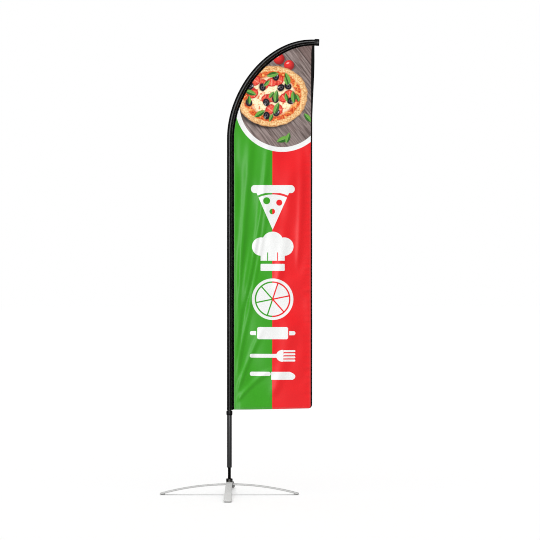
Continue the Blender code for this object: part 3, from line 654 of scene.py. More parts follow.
def printed_cloth(name, paint):
    """Dye-printed knitted polyester: the print, its soft mottling, knit and satin gloss."""
    shader = Shader(name)
    flat = shader.attribute("flat")
    x, z, _ = shader.parts(flat)
    ground = shader.mix((x - SPLIT_X).inside(), PRINT_RED, PRINT_GREEN)
    mottle = shader.noise(flat, 170, 4, 0.7).ramp(0.3, 0.7, 0.95, 1.05)
    feeds = {"Color": paint(Print(shader, flat), x, z, ground), "Value": mottle}
    shader.set(Base_Color=shader.made("ShaderNodeHueSaturation", 0, feeds))
    threads = weave(x, z, 1.4 * MM)
    shader.set(Roughness=threads.ramp(0.0, 1.0, 0.37, 0.43))
    shader.bump(threads, 0.08 * MM, 0.15)
    return shader.material


# ---------------------------------------------------------------------------------------------
# Mesh helpers


def placed(name, data):
    """New object in the scene."""
    made = bpy.data.objects.new(name, data)
    bpy.context.scene.collection.objects.link(made)
    return made


def from_builder(name, builder):
    """Object from a bmesh that was built about x = 0, moved to the pole's axis."""
    bmesh.ops.translate(builder, verts=builder.verts, vec=TO_AXIS)
    bmesh.ops.recalc_face_normals(builder, faces=builder.faces)
    mesh = bpy.data.meshes.new(name)
    builder.to_mesh(mesh)
    builder.free()
    return placed(name, mesh)


def piece(name, builder, material, body, replaces=(), smooth_below=40):
    """Finished piece that rides on a body."""
    made = from_builder(name, builder)
    made.data.shade_smooth()
    made.data.set_sharp_from_angle(angle=math.radians(smooth_below))
    made.data.materials.append(material)
    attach(made, body)
    if replaces:
        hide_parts(*replaces)
    return made


def soften(profile, radius):
    """Rounds every corner of a closed outline, as far as its edges leave room."""
    points = [Vector(point) for point in profile]
    rounded = []
    for before, here, after in zip(points[-1:] + points[:-1], points, points[1:] + points[:1]):
        if here.x < 1e-7:
            rounded.append(here)
            continue
        back = before - here
        ahead = after - here
        reach = min(radius, 0.45 * back.length, 0.45 * ahead.length)
        start = here + back.normalized() * reach
        end = here + ahead.normalized() * reach
        for share in steps(0, 1, 3):
            rounded.append(start.lerp(here, share).lerp(here.lerp(end, share), share))
    return rounded


def lathe(profile, segments=72):
    """Closed outline of (radius, height) turned about the z axis."""
    builder = bmesh.new()
    corners = [builder.verts.new((radius, 0, height)) for radius, height in profile]
    pairs = zip(corners, corners[1:] + corners[:1])
    edges = [builder.edges.new(pair) for pair in pairs if max(corner.co.x for corner in pair) > 1e-7]
    bmesh.ops.spin(builder, geom=corners + edges, axis=UP, cent=(0, 0, 0),
                   steps=segments, angle=math.tau, use_merge=True)
    bmesh.ops.remove_doubles(builder, verts=builder.verts, dist=1e-7)
    return builder


def skin(loops, closed=False):
    """Quads between a row of equal loops, with a face over each end or the ends joined."""
    builder = bmesh.new()
    rows = [[builder.verts.new(point) for point in loop] for loop in loops]
    joins = list(zip(rows, rows[1:]))
    if closed:
        joins.append((rows[-1], rows[0]))
    else:
        builder.faces.new(rows[0])
        builder.faces.new(rows[-1][::-1])
    for near, far in joins:
        for i in range(len(near)):
            after = (i + 1) % len(near)
            builder.faces.new((near[i], near[after], far[after], far[i]))
    return builder


def steps(first, last, count):
    return [first + (last - first) * i / count for i in range(count + 1)]


def smoothstep(low, high, value):
    share = np.clip((value - low) / (high - low), 0, 1)
    return share * share * (3 - 2 * share)


def lengths(points):
    """Distance travelled along a path at each of its points."""
    return np.concatenate([[0], np.cumsum(np.linalg.norm(np.diff(points, axis=0), axis=1))])


def along(distance, travelled, values):
    """Vector at a distance along a path, from one value per point."""
    return Vector([np.interp(distance, travelled, values[:, i]) for i in range(3)])


# ---------------------------------------------------------------------------------------------
# Path of the pole


def bend_frame(share):
    """Point, heading and flagward direction at a share of the bend."""
    start = Vector((0, 0, BEND_START_Z))
    droop = Vector((math.cos(BEND_END_DROOP), 0, -math.sin(BEND_END_DROOP)))
    p1 = start + UP * BEND_LOWER_HANDLE
    p2 = BEND_END - droop * BEND_UPPER_HANDLE
    rest = 1 - share
    point = start * rest**3 + p1 * 3 * rest**2 * share + p2 * 3 * rest * share**2 + BEND_END * share**3
    slope = (p1 - start) * rest**2 + (p2 - p1) * 2 * rest * share + (BEND_END - p2) * share**2
    heading = slope.normalized()
    return point, heading, Vector((heading.z, 0, -heading.x))


def taper(share, full, tip):
    """Size at a share of the bend: full up to its middle, then narrowing to the tip."""
    return full + (tip - full) * float(smoothstep(0.5, 1.0, share))


def flange_reach(share):
    return taper(share, SLEEVE_FLANGE, SLEEVE_TIP_FLANGE)


def pole_stations(spacing, bottom=SLEEVE_BOTTOM_Z):
    """(distance, frame, bend share) at even distances from the sleeve's bottom to its tip."""
    shares = steps(0, 1, 400)
    dense = [Vector((0, 0, bottom))] + [bend_frame(share)[0] for share in shares]
    travelled = lengths(np.array(dense))
    stations = []
    for distance in steps(0, travelled[-1], round(travelled[-1] / spacing)):
        if distance < travelled[1]:
            here = (Vector((0, 0, bottom + distance)), UP.copy(), Vector((1, 0, 0)))
            stations.append((distance, here, 0.0))
        else:
            share = float(np.interp(distance, travelled[1:], shares))
            stations.append((distance, bend_frame(share), share))
    return stations


def fly_x(z):
    """Free edge of the flag, which swells a little near the top."""
    return FLY_X + FLY_SWELL * smoothstep(FLY_SWELL_BOTTOM_Z, FLY_SWELL_TOP_Z, z)


# ---------------------------------------------------------------------------------------------
# Flag cloth


def hoist_points():
    """Sewn edge of the cloth, inside the flange's fold, at even distances from bottom to tip."""
    edge = []
    for _, (point, _, flagward), share in pole_stations(2 * MM, PANEL_BOTTOM_LEFT_Z):
        spot = point + flagward * (flange_reach(share) - FLANGE_SLOT_DEPTH + 1 * MM)
        if spot.x < fly_x(spot.z) - BINDING_FOLD - 4 * MM:
            edge.append((spot.x, spot.z))
    edge = np.array(edge)
    travelled = lengths(edge)
    wanted = np.linspace(0, travelled[-1], CLOTH_ROWS + 1)
    return np.column_stack([np.interp(wanted, travelled, values) for values in edge.T])


def bottom_edge_z(x):
    """Lower edge of the flag, without and with its round corner."""
    radius = FLY_CORNER_RADIUS - BINDING_FOLD
    corner_x = FLY_X - FLY_CORNER_RADIUS
    share = np.clip((x - SLEEVE_FLANGE) / (corner_x - SLEEVE_FLANGE), 0, 1)
    line = PANEL_BOTTOM_LEFT_Z + (PANEL_BOTTOM_RIGHT_Z - PANEL_BOTTOM_LEFT_Z) * share
    past = np.clip(x - corner_x, 0, radius)
    return line, line + radius - np.sqrt(np.maximum(radius**2 - past**2, 0))


def column_shares():
    """Places of the cloth's columns across it, closer together round the lower corner."""
    radius = FLY_CORNER_RADIUS - BINDING_FOLD
    corner = radius / (FLY_X - BINDING_FOLD - SLEEVE_FLANGE + FLANGE_SLOT_DEPTH)
    turns = np.linspace(0, math.pi / 2, CORNER_COLUMNS + 1)
    return np.concatenate([
        np.linspace(0, 1 - corner, CLOTH_COLUMNS - CORNER_COLUMNS + 1)[:-1],
        1 - corner + corner * np.sin(turns),
    ])


def flat_pattern():
    """(rows, columns, 2) array of the cloth's points before it is sewn and hung."""
    hoist = hoist_points()
    rise = np.maximum.accumulate(hoist[:, 1])
    share = 0.9 * (rise - rise[0]) / (rise[-1] - rise[0]) + 0.1 * np.linspace(0, 1, len(hoist))
    fly_z = PANEL_BOTTOM_RIGHT_Z + (FLY_TOP_Z - PANEL_BOTTOM_RIGHT_Z) * share
    fly = np.column_stack([fly_x(fly_z) - BINDING_FOLD, fly_z])
    across = column_shares()[None, :, None]
    grid = hoist[:, None, :] * (1 - across) + fly[:, None, :] * across
    line, edge = bottom_edge_z(grid[..., 0])
    above = np.clip((grid[..., 1] - line) / CORNER_BLEND, 0, 1)
    grid[..., 1] += (edge - line) * (1 - above)
    return grid


def freedom(grid):
    """0 in the seams and 1 in the open cloth: how far each point may leave the flat."""
    away = np.full(grid.shape[:2], np.inf)
    for point in grid[:, 0]:
        away = np.minimum(away, np.hypot(*(grid - point).transpose(2, 0, 1)))
    from_fly = grid[:, -1:, 0] - grid[..., 0]
    return smoothstep(9 * MM, 45 * MM, away), smoothstep(16 * MM, 60 * MM, from_fly)


def fold_height(x, z):
    """Soft folds of the hung cloth, towards the viewer: they fan out of the lower sewn corner."""
    height = np.zeros_like(x)
    share = np.linspace(0, 1, 60)[:, None]
    for start, bend, end, wide, tall in FOLDS:
        start, bend, end = (np.array(point) for point in (start, bend, end))
        line = start * (1 - share) ** 2 + bend * 2 * share * (1 - share) + end * share**2
        fold_x, where, slope = (
            np.interp(z, line[:, 1], values)
            for values in (line[:, 0], share[:, 0], np.gradient(line[:, 0], line[:, 1]))
        )
        away = (x - fold_x) / np.sqrt(1 + slope**2)
        width = wide * (0.35 + 0.65 * where)
        fade = np.clip(where / 0.15, 0, 1) * np.clip((1 - where) / 0.3, 0, 1)
        height += tall * smoothstep(0, 1, fade) * np.exp(-((away / width) ** 2))
    return height


# Folds as (start, bend, end, width, height): x across and z up from the pole
FOLDS = (
    ((0.034, 0.90), (0.078, 1.60), (0.148, 2.36), 0.030, 0.0105),
    ((0.070, 1.05), (0.196, 1.58), (0.236, 2.20), 0.020, 0.0072),
    ((0.095, 1.05), (0.205, 1.45), (0.238, 1.92), 0.016, 0.0044),
    ((0.030, 0.70), (0.062, 1.15), (0.150, 1.58), 0.018, 0.0064),
    ((0.030, 0.62), (0.080, 0.98), (0.175, 1.32), 0.018, 0.0060),
    ((0.030, 0.56), (0.105, 0.80), (0.215, 1.02), 0.018, 0.0056),
    ((0.030, 0.53), (0.120, 0.66), (0.270, 0.76), 0.020, 0.0052),
    ((0.250, 0.56), (0.340, 0.80), (0.390, 1.20), 0.060, 0.0070),
    ((0.270, 1.15), (0.345, 1.60), (0.375, 2.10), 0.050, 0.0060),
    ((0.400, 1.30), (0.425, 1.70), (0.430, 2.20), 0.030, 0.0040),
)


def sheet(name, points):
    """Quad sheet through a (rows, columns, 3) array of points."""
    rows, columns = points.shape[:2]
    index = np.arange(rows * columns).reshape(rows, columns)
    faces = np.stack([index[:-1, :-1], index[:-1, 1:], index[1:, 1:], index[1:, :-1]], axis=-1)
    mesh = bpy.data.meshes.new(name)
    mesh.from_pydata(points.reshape(-1, 3).tolist(), [], faces.reshape(-1, 4).tolist())
    return placed(name, mesh), index


def hang(points):
    """Drapes the sheet from its sewn edges under its own weight and returns how far it moved."""
    cloth, index = sheet("hanging", points)
    edges = cloth.vertex_groups.new(name="sewn")
    edges.add(index[:, 0].tolist() + index[-1].tolist(), 1.0, "REPLACE")
    edges.add(index[:-1, -1].tolist(), 0.3, "REPLACE")
    hanging = cloth.modifiers.new("hang", "CLOTH")
    hanging.point_cache.frame_end = CLOTH_FRAMES
    for name, value in CLOTH_SETTINGS.items():
        setattr(hanging.settings, name, value)
    hanging.settings.vertex_group_mass = "sewn"
    scene = bpy.context.scene
    for number in range(1, CLOTH_FRAMES + 1):
        scene.frame_set(number)
    hung = cloth.evaluated_get(bpy.context.evaluated_depsgraph_get()).data
    after = np.empty(points.size, np.float32)
    hung.vertices.foreach_get("co", after)
    bpy.data.objects.remove(cloth)
    scene.frame_set(1)
    moved = after.reshape(points.shape) - points
    for _ in range(CREASE_SMOOTHING):
        near = moved[:-2, 1:-1] + moved[2:, 1:-1] + moved[1:-1, :-2] + moved[1:-1, 2:]
        moved[1:-1, 1:-1] = 0.5 * moved[1:-1, 1:-1] + 0.125 * near
    limit = np.array([CLOTH_SAG, CLOTH_DRIFT, CLOTH_SAG])
    return limit * np.tanh(moved / limit)


def refined(values):
    """Twice as many steps along the first axis, on a smooth curve through the old values."""
    before = 2 * values[:1] - values[1:2]
    after = 2 * values[-1:] - values[-2:-1]
    padded = np.concatenate([before, values, after])
    result = np.empty((2 * len(values) - 1, *values.shape[1:]))
    result[::2] = values
    result[1::2] = (9 * (padded[1:-2] + padded[2:-1]) - padded[:-3] - padded[3:]) / 16
    return result


def apply_modifiers(thing):
    """Replaces a piece's mesh with its evaluated mesh."""
    solid = bpy.data.meshes.new_from_object(thing.evaluated_get(bpy.context.evaluated_depsgraph_get()))
    thing.modifiers.clear()
    thing.data = solid


def with_flat(made, pattern):
    """Keeps a piece's own flat coordinates, one per vertex, for its print or weave."""
    flat = made.data.attributes.new("flat", "FLOAT_VECTOR", "POINT")
    flat.data.foreach_set("vector", np.array(pattern, np.float32).ravel())


def flag_cloth(grid, picture_print, message_print):
    """The printed sheet; returns its middle surface as a grid of points."""
    from_sleeve, from_fly = freedom(grid)
    depth = -fold_height(grid[..., 0], grid[..., 1]) * from_sleeve * from_fly
    points = np.stack([grid[..., 0] + AXIS_X, depth, grid[..., 1]], axis=-1)
    moved = refined(refined(hang(points[::2, ::2])).swapaxes(0, 1)).swapaxes(0, 1)
    edge = moved[:, -1:]
    points += from_sleeve[..., None] * (edge + from_fly[..., None] * (moved - edge))
    cloth, _ = sheet("flag_cloth", points)
    with_flat(cloth, np.pad(grid.reshape(-1, 2), ((0, 0), (0, 1))))
    for material in (picture_print, message_print):
        cloth.data.materials.append(material)
    lower = np.maximum(grid[1:, :-1, 1], grid[1:, 1:, 1]).ravel() < PICTURE_BOTTOM_Z
    cloth.data.polygons.foreach_set("material_index", lower.astype(np.int32))
    cloth.data.shade_smooth()
    thick = cloth.modifiers.new("thickness", "SOLIDIFY")
    thick.thickness = CLOTH_THICKNESS
    thick.offset = 0
    apply_modifiers(cloth)
    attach(cloth, "mast")
    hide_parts("flag_panel")
    return points


# ---------------------------------------------------------------------------------------------
# Sewn parts round the cloth


def sleeve_section(radius, flange, pucker):
    """Matching outer and inner outlines of the sleeve, as (flagward, depth, girth) points.

    Girth is measured along the cloth: below 0 on the front of the flange, then once round the pole.
    """
    wall = radius - SLEEVE_WALL
    opening = math.asin(FLANGE_HALF / radius) * 1.3
    rounding = 0.3 * MM
    front = [
        (flange - rounding, FLANGE_SLOT), (flange, FLANGE_SLOT + rounding),
        (flange - rounding, FLANGE_HALF), (flange - 4 * MM, FLANGE_HALF), (radius + 3 * MM, FLANGE_HALF),
    ]
    outer = [(across, depth, radius - across) for across, depth in front]
    for angle in steps(opening, math.tau - opening, 44):
        swell = radius * (1 + pucker * math.sin(5 * angle) * math.sin(angle / 2))
        outer.append((swell * math.cos(angle), swell * math.sin(angle), SLEEVE_RADIUS * angle))
    outer += [(across, -depth, math.tau * SLEEVE_RADIUS - radius + across) for across, depth in front[::-1]]
    turns = steps(opening / 2, math.tau - opening / 2, len(outer) - 1)
    return outer, [(wall * math.cos(turn), wall * math.sin(turn), radius * turn) for turn in turns]


def wrinkle(distance):
    """Small irregular swelling along the sleeve, strongest at its hem and through the bend."""
    slow = math.sin(distance * 9.1) * math.sin(distance * 3.7 + 1)
    quick = math.sin(distance * 61 + 3 * math.sin(distance * 13))
    bent = smoothstep(1.5, 1.9, distance)
    hem = 1 - smoothstep(0.0, 0.12, distance)
    return 0.002 * slow + (0.001 + 0.004 * bent + 0.010 * hem) * quick


def pole_sleeve(cloth):
    """Sleeve over the bent pole, cut back at its hem."""
    layers = ([], [])
    patterns = ([], [])
    for distance, (point, _, flagward), share in pole_stations(6 * MM):
        radius = taper(share, SLEEVE_RADIUS, SLEEVE_TIP_RADIUS) - 0.1 * MM
        flange = flange_reach(share) - 7.4 * MM * (1 - smoothstep(0, 7 * MM, distance))
        sections = sleeve_section(radius, flange, wrinkle(distance) * 0.7)
        for layer, pattern, section in zip(layers, patterns, sections):
            layer.append([point + flagward * across + DEPTH * depth for across, depth, _ in section])
            pattern.append([(girth, distance, 0) for _, _, girth in section])
    builder = skin(layers[0] + layers[1][::-1], closed=True)
    made = piece("pole_sleeve_cloth", builder, cloth, "mast", ("pole_sleeve",), 60)
    with_flat(made, patterns[0] + patterns[1][::-1])


def cloth_normals(shape):
    """Unit normals of the cloth grid, facing the viewer."""
    across = np.gradient(shape, axis=1)
    up = np.gradient(shape, axis=0)
    normal = np.cross(across, up)
    return normal / np.linalg.norm(normal, axis=-1, keepdims=True)


def edge_frames(shape):
    """(point, inward, normal) down the cloth's free edge and round most of the corner, from the tip."""
    kept = round(CORNER_COLUMNS * TAPE_CORNER_SHARE)
    normals = cloth_normals(shape)
    edge = np.concatenate([shape[:0:-1, -1], shape[0, :-kept - 2:-1]])
    facing = np.concatenate([normals[:0:-1, -3], np.repeat(normals[3, -3][None], kept + 1, axis=0)])
    padded = np.pad(facing, ((4, 4), (0, 0)), mode="edge")
    facing = sum(padded[i:i + len(facing)] for i in range(9)) / 9
    frames = []
    for point, normal, heading in zip(edge, facing, np.gradient(edge, axis=0)):
        normal = Vector(normal).normalized()
        inward = Vector(heading).cross(normal).normalized()
        frames.append((Vector(point) - TO_AXIS, inward, normal))
    return frames


def tape_width(z):
    """The tape is wide in the upper part of the flag and narrows again just below the tip."""
    wide = smoothstep(2.22, 2.53, z) * (1 - 0.5 * smoothstep(2.60, 2.66, z))
    return BINDING_WIDTH + 10.5 * MM * wide


def fly_binding(frames, cloth):
    """Black tape folded over the free edge, thinning out round the corner."""
    loops = []
    pattern = []
    last = len(frames) - 1
    travelled = lengths(np.array([point for point, _, _ in frames]))
    for i, (point, inward, normal) in enumerate(frames):
        ending = smoothstep(last - 8, last, i)
        width = tape_width(point.z) * (1 - 0.6 * ending)
        fold = BINDING_FOLD * (1 - 0.4 * ending)
        thick = BINDING_HALF * (1 - 0.1 * math.sin(travelled[i] * 300))
        half = [(0.0, 0.3 * thick), (0.25 * MM, 0.75 * thick), (0.9 * MM, thick), (width * 0.5, thick * 0.92),
                (width - 0.5 * MM, thick), (width, 0.75 * thick), (width, BINDING_SLOT),
                (fold - 0.2 * MM, BINDING_SLOT)]
        section = half + [(across, -depth) for across, depth in reversed(half)]
        outer = point - inward * fold
        loops.append([outer + inward * across + normal * depth for across, depth in section])
        pattern += [(across + math.copysign(30 * MM, depth), travelled[i], 0) for across, depth in section]
    made = piece("fly_binding_tape", skin(loops), cloth, "mast", ("fly_edge_binding",), 60)
    with_flat(made, pattern)


def add_stitch(builder, point, heading, across, out):
    """One sunken-ended stitch lying on a surface."""
    rings = []
    for share, size in ((-0.36, 0.8), (0.0, 1.0), (0.36, 0.8)):
        radius = STITCH_RADIUS * size
        centre = point + heading * (STITCH_LENGTH * share) + out * (radius * 0.35)
        turns = [math.pi / 4 + turn * math.pi / 2 for turn in range(4)]
        offsets = [(across * math.cos(turn) + out * math.sin(turn)) * radius for turn in turns]
        rings.append([builder.verts.new(centre + offset) for offset in offsets])
    sunk = point - out * STITCH_RADIUS * 0.5
    ends = [builder.verts.new(sunk + heading * (STITCH_LENGTH * share)) for share in (-0.5, 0.5)]
    for i in range(4):
        after = (i + 1) % 4
        for near, far in zip(rings, rings[1:]):
            builder.faces.new((near[i], near[after], far[after], far[i]))
        for end, ring in zip(ends, rings[::2]):
            builder.faces.new((end, ring[after], ring[i]))


def stitch_rows(name, lines, material, pitch=STITCH_PITCH):
    """Stitches along lines of (point, out) rows, all in one piece."""
    builder = bmesh.new()
    for line in lines:
        places, outs = (np.array([list(row[i]) for row in line]) for i in range(2))
        travelled = lengths(places)
        wanted = np.arange(0, travelled[-1], pitch)
        rows = [
            (along(here, travelled, places), along(here, travelled, outs).normalized()) for here in wanted
        ]
        for (here, out), (after, _) in zip(rows, rows[1:]):
            heading = (after - here).normalized()
            across = heading.cross(out).normalized()
            add_stitch(builder, here + heading * STITCH_PITCH / 2, heading, across, out)
    piece(name, builder, material, "mast")


def flange_stitches(dark):
    """Two rows through the sleeve's flange, on both faces."""
    lines = []
    for inset in (2.2 * MM, 8.2 * MM):
        for side in (-1, 1):
            face = DEPTH * side * FLANGE_HALF
            lines.append([
                (point + flagward * (flange_reach(share) - inset) + face, DEPTH * side)
                for _, (point, _, flagward), share in pole_stations(8 * MM)[2:-1]
            ])
    stitch_rows("flange_stitches", lines, dark)


def binding_stitches(frames, dark):
    """One row along the tape's inner edge, on both faces."""
    lines = []
    for side in (-1, 1):
        line = []
        for point, inward, normal in frames[6:-9]:
            reach = tape_width(point.z) - BINDING_FOLD - 2.3 * MM
            line.append((point + inward * reach + normal * side * BINDING_HALF * 0.97, normal * side))
        lines.append(line)
    stitch_rows("binding_stitches", lines, dark)


def up_the_cloth(points, normals, rise):
    """Place and outward direction at a distance up one column of the cloth, or a little below it."""
    travelled = lengths(points)
    place = along(rise, travelled, points)
    if rise < 0:
        place += Vector(points[1] - points[0]).normalized() * rise
    return place - TO_AXIS, along(rise, travelled, normals).normalized()


def bottom_hem(shape, material, pale):
    """Turned-up lower edge of the cloth: a layer on each face, its roll and its stitching."""
    normals = cloth_normals(shape[:9])
    arc = CLOTH_COLUMNS - CORNER_COLUMNS
    loops = []
    pattern = []
    lines = ([], [])
    for column in range(CLOTH_COLUMNS - round(CORNER_COLUMNS * TAPE_CORNER_SHARE) + 2):
        points = shape[:6, column]
        facing = (normals[2:3, column] + normals[:6, column]) / 2
        tall = HEM_HEIGHT * (1 - 0.6 * smoothstep(arc - 3, arc + 4, column))
        half = [
            (-0.9 * MM, 0.15 * MM), (-0.6 * MM, 0.6 * MM), (0.2 * MM, 0.8 * MM), (tall * 0.35, 0.55 * MM),
            (tall * 0.75, 0.5 * MM), (tall, 0.6 * MM), (tall + 0.1 * MM, 0.22 * MM), (0.1 * MM, 0.16 * MM),
        ]
        loop = []
        for rise, depth in [(rise, -depth) for rise, depth in half] + half[::-1]:
            place, out = up_the_cloth(points, facing, rise)
            loop.append(place + out * depth)
            pattern.append((place.x, place.z, 0))
        loops.append(loop)
        if column <= arc:
            stitch, out = up_the_cloth(points, facing, tall - 2.2 * MM)
            for line, side in zip(lines, (1, -1)):
                line.append((stitch + out * side * 0.5 * MM, out * side))
    made = piece("bottom_hem", skin(loops), material, "mast", (), 60)
    with_flat(made, pattern)
    stitch_rows("hem_stitches", lines, pale, STITCH_PITCH * 0.8)


def squared(value):
    """Sine or cosine of a superellipse, a little fuller than a circle's."""
    return math.copysign(abs(value) ** (2 / 2.6), value)


def tip_cap(material):
    """Grooved plug on the sleeve's end, rounded at its edges, with its bore in the near face."""
    point, heading, flagward = bend_frame(1)
    profile = [(0.05, 0.975), (0.5, 0.99), (1.2, 1.0), (7.2, 1.0), (7.7, 0.985), (8.1, 0.945), (9.4, 0.94),
               (9.8, 0.985), (10.3, 1.0), (20, 1.0), (25.6, 0.995), (27.2, 0.965), (28.0, 0.90), (28.2, 0.80)]
    turns = [math.tau * (i + 0.5) / 72 for i in range(72)]
    bore = 4 * MM
    loops = []
    for depth in (17 * MM, 0.05 * MM):
        centre = point + heading * depth
        loops.append([centre + (flagward * math.cos(turn) + DEPTH * math.sin(turn)) * bore for turn in turns])
    for depth, scale in profile:
        centre = point + heading * depth * MM + flagward * 3.8 * MM
        high, deep = 19.9 * MM * scale, 16.0 * MM * scale
        loops.append([
            centre + flagward * squared(math.cos(turn)) * high + DEPTH * squared(math.sin(turn)) * deep
            for turn in turns
        ])
    piece("tip_cap_plug", skin(loops), material, "mast", ("tip_cap",), 50)


# ---------------------------------------------------------------------------------------------
# Turned and rolled parts


def node_radius(node):
    low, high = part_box(node)
    return (high.y - low.y) / 2


def turned_piece(name, node, profile, material, body, radius):
    builder = lathe(soften(profile, radius))
    return piece(name, builder, material, body, (node,), 50)


def tube(name, node, radius, wall, material, body):
    """Plain tube over a node's height."""
    low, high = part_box(node)
    profile = [(radius - wall, low.z), (radius, low.z), (radius, high.z), (radius - wall, high.z)]
    turned_piece(name, node, profile, material, body, 0.4 * MM)


def tube_foot(material):
    """Bush in the tube's lower end, with a lip under the tube."""
    low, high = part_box("tube_foot_bush")
    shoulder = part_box("bottom_tube")[0].z - 0.3 * MM
    bore, plug, lip = 9.3 * MM, 12.2 * MM, 14.0 * MM
    profile = [(bore, low.z), (lip, low.z), (lip, shoulder), (plug, shoulder), (plug, high.z), (bore, high.z)]
    turned_piece("tube_foot", "tube_foot_bush", profile, material, "bottom_pole", 0.8 * MM)


def collar(material):
    """Stop ring on the mast, with sloped ends."""
    low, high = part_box("mast_collar")
    slope = [(12.7, 0), (15.9, 0), (17.2, 2.4), (18, 5)]
    profile = [(radius * MM, low.z + rise * MM) for radius, rise in slope]
    profile += [(radius * MM, high.z - rise * MM) for radius, rise in reversed(slope)]
    turned_piece("mast_stop_ring", "mast_collar", profile, material, "mast", 2.2 * MM)


def spindle(material):
    """Shaft with its journal, circlip groove and two O-ring grooves."""
    low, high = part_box("spindle")
    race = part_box("bearing_inner_race")[1].z + 0.3 * MM
    clip_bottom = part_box("spindle_circlip")[0].z - 0.3 * MM
    clip_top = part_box("spindle_circlip")[1].z + 0.15 * MM
    shaft, journal, clip, groove = 8.6 * MM, 7.4 * MM, 6.6 * MM, 7.6 * MM
    profile = [(0, low.z), (journal, low.z), (journal, clip_bottom), (clip, clip_bottom), (clip, clip_top),
               (journal, clip_top), (journal, race), (shaft, race)]
    for ring in ("o_ring_lower", "o_ring_upper"):
        bottom, top = (middle(ring).z + side * 0.9 * MM for side in (-1, 1))
        profile += [(shaft, bottom), (groove, bottom), (groove, top), (shaft, top)]
    profile += [(shaft, high.z - 2.5 * MM), (6.1 * MM, high.z), (0, high.z)]
    turned_piece("spindle_shaft", "spindle", profile, material, "spindle", 0.3 * MM)


def housing(material):
    """Hub: chamfered cup with a turned groove round its middle and the stud below."""
    low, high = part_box("bearing_housing")
    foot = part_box("upper_bar")[1].z + 0.3 * MM
    floor_z = foot + 4 * MM
    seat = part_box("bearing_outer_race")[0].z - 0.3 * MM
    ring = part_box("bearing_outer_race")[1].z
    ring_top = ring + 1.8 * MM
    waist = (foot + high.z) / 2
    radius = node_radius("bearing_housing")
    bore, ring_groove, well, stud = 16.4 * MM, 17.2 * MM, 13 * MM, 6 * MM
    chamfer = 1.2 * MM
    groove = [
        (radius - inset * MM, waist + rise * MM)
        for inset, rise in ((0, -0.7), (0.6, -0.4), (0.6, 0.4), (0, 0.7))
    ]
    profile = [(0, low.z), (stud - 0.8 * MM, low.z), (stud, low.z + 0.9 * MM), (stud, foot),
               (radius - chamfer, foot), (radius, foot + chamfer), *groove, (radius, high.z - chamfer),
               (radius - chamfer, high.z), (bore, high.z), (bore, ring_top), (ring_groove, ring_top),
               (ring_groove, ring), (bore, ring), (bore, seat), (well, seat), (well, floor_z), (0, floor_z)]
    turned_piece("hub_cup", "bearing_housing", profile, material, "base", 0.35 * MM)


def cover(material):
    """Dust cover with a raised lip round the spindle."""
    low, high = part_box("dust_cover")
    bore, rim, deck = 9.2 * MM, 15.9 * MM, high.z - 0.3 * MM
    profile = [
        (bore, low.z), (rim, low.z), (rim, deck), (11.5 * MM, deck), (10.6 * MM, high.z), (bore, high.z),
    ]
    turned_piece("hub_cover", "dust_cover", profile, material, "base", 0.25 * MM)


def bar_outline(half_length):
    """(distance from the middle, half width) along a bar that flares and ends in round corners."""
    corner = 10 * MM
    half = [(distance, 0.0) for distance in steps(0, half_length - corner, 34)]
    for turn in steps(0, math.pi / 2, 10)[1:]:
        half.append((half_length - corner + corner * math.sin(turn), corner * (1 - math.cos(turn))))
    half = [
        (distance, 19.5 * MM + 4 * MM * smoothstep(0.55, 1.0, distance / half_length) - cut)
        for distance, cut in half
    ]
    return [(-distance, wide) for distance, wide in reversed(half[1:])] + half


def drill(bar, low_z, high_z):
    """Bores the pivot hole through a bar."""
    radius = 6.6 * MM
    cutter = from_builder("drill", lathe([(0, low_z), (radius, low_z), (radius, high_z), (0, high_z)], 48))
    bar.modifiers.new("pivot", "BOOLEAN").object = cutter
    bpy.context.view_layer.update()
    apply_modifiers(bar)
    bar.data.set_sharp_from_angle(angle=math.radians(50))
    bpy.data.objects.remove(cutter)


def arched_bar(name, node, body, heading, material):
    """Rolled flat bar: arched, flared and rounded at its tips, with eased edges and a pivot hole."""
    crown_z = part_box(node)[1].z
    reach = 0.4095
    rise = crown_z - 10 * MM
    arc = (reach**2 + rise**2) / (2 * rise)
    ease = 1.6 * MM
    faces = ((1, arc - ease), (-1, arc - 8 * MM + ease))
    loops = []
    for distance, wide in bar_outline(arc * math.asin(reach / arc)):
        lean = distance / arc
        loop = []
        for side, (top, edge) in zip((1, -1, -1, 1), (faces[0], faces[0], faces[1], faces[1])):
            for angle in steps(0, math.pi / 2, 4):
                turn = angle if side * top > 0 else math.pi / 2 - angle
                across = side * (wide - ease + ease * math.cos(turn))
                radius = edge + top * ease * math.sin(turn)
                loop.append((radius * math.sin(lean), across, crown_z - arc + radius * math.cos(lean)))
        loops.append(loop)
    builder = skin(loops)
    bmesh.ops.rotate(builder, verts=builder.verts, cent=(0, 0, 0), matrix=Matrix.Rotation(heading, 3, "Z"))
    bar = piece(name, builder, material, body, (node,), 50)
    drill(bar, crown_z - 20 * MM, crown_z + 10 * MM)


def foot_pads(material):
    """Moulded rubber wedges under the tips, with rounded edges."""
    for side, body in (("left", "base"), ("right", "base"), ("front", "cross_bar"), ("back", "cross_bar")):
        node = f"foot_pad_{side}"
        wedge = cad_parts[node]
        builder = bmesh.new()
        builder.from_mesh(wedge.data)
        bmesh.ops.transform(builder, matrix=wedge.matrix_world, verts=builder.verts)
        bmesh.ops.translate(builder, verts=builder.verts, vec=-TO_AXIS)
        bmesh.ops.remove_doubles(builder, verts=builder.verts, dist=1e-6)
        flat_angle = math.radians(2)
        bmesh.ops.dissolve_limit(builder, angle_limit=flat_angle, verts=builder.verts, edges=builder.edges)
        sharp = [edge for edge in builder.edges if edge.calc_face_angle(0) > math.radians(20)]
        bmesh.ops.bevel(builder, geom=sharp, offset=1.4 * MM, segments=3, profile=0.6, affect="EDGES")
        piece(f"rubber_pad_{side}", builder, material, body, (node,), 50)


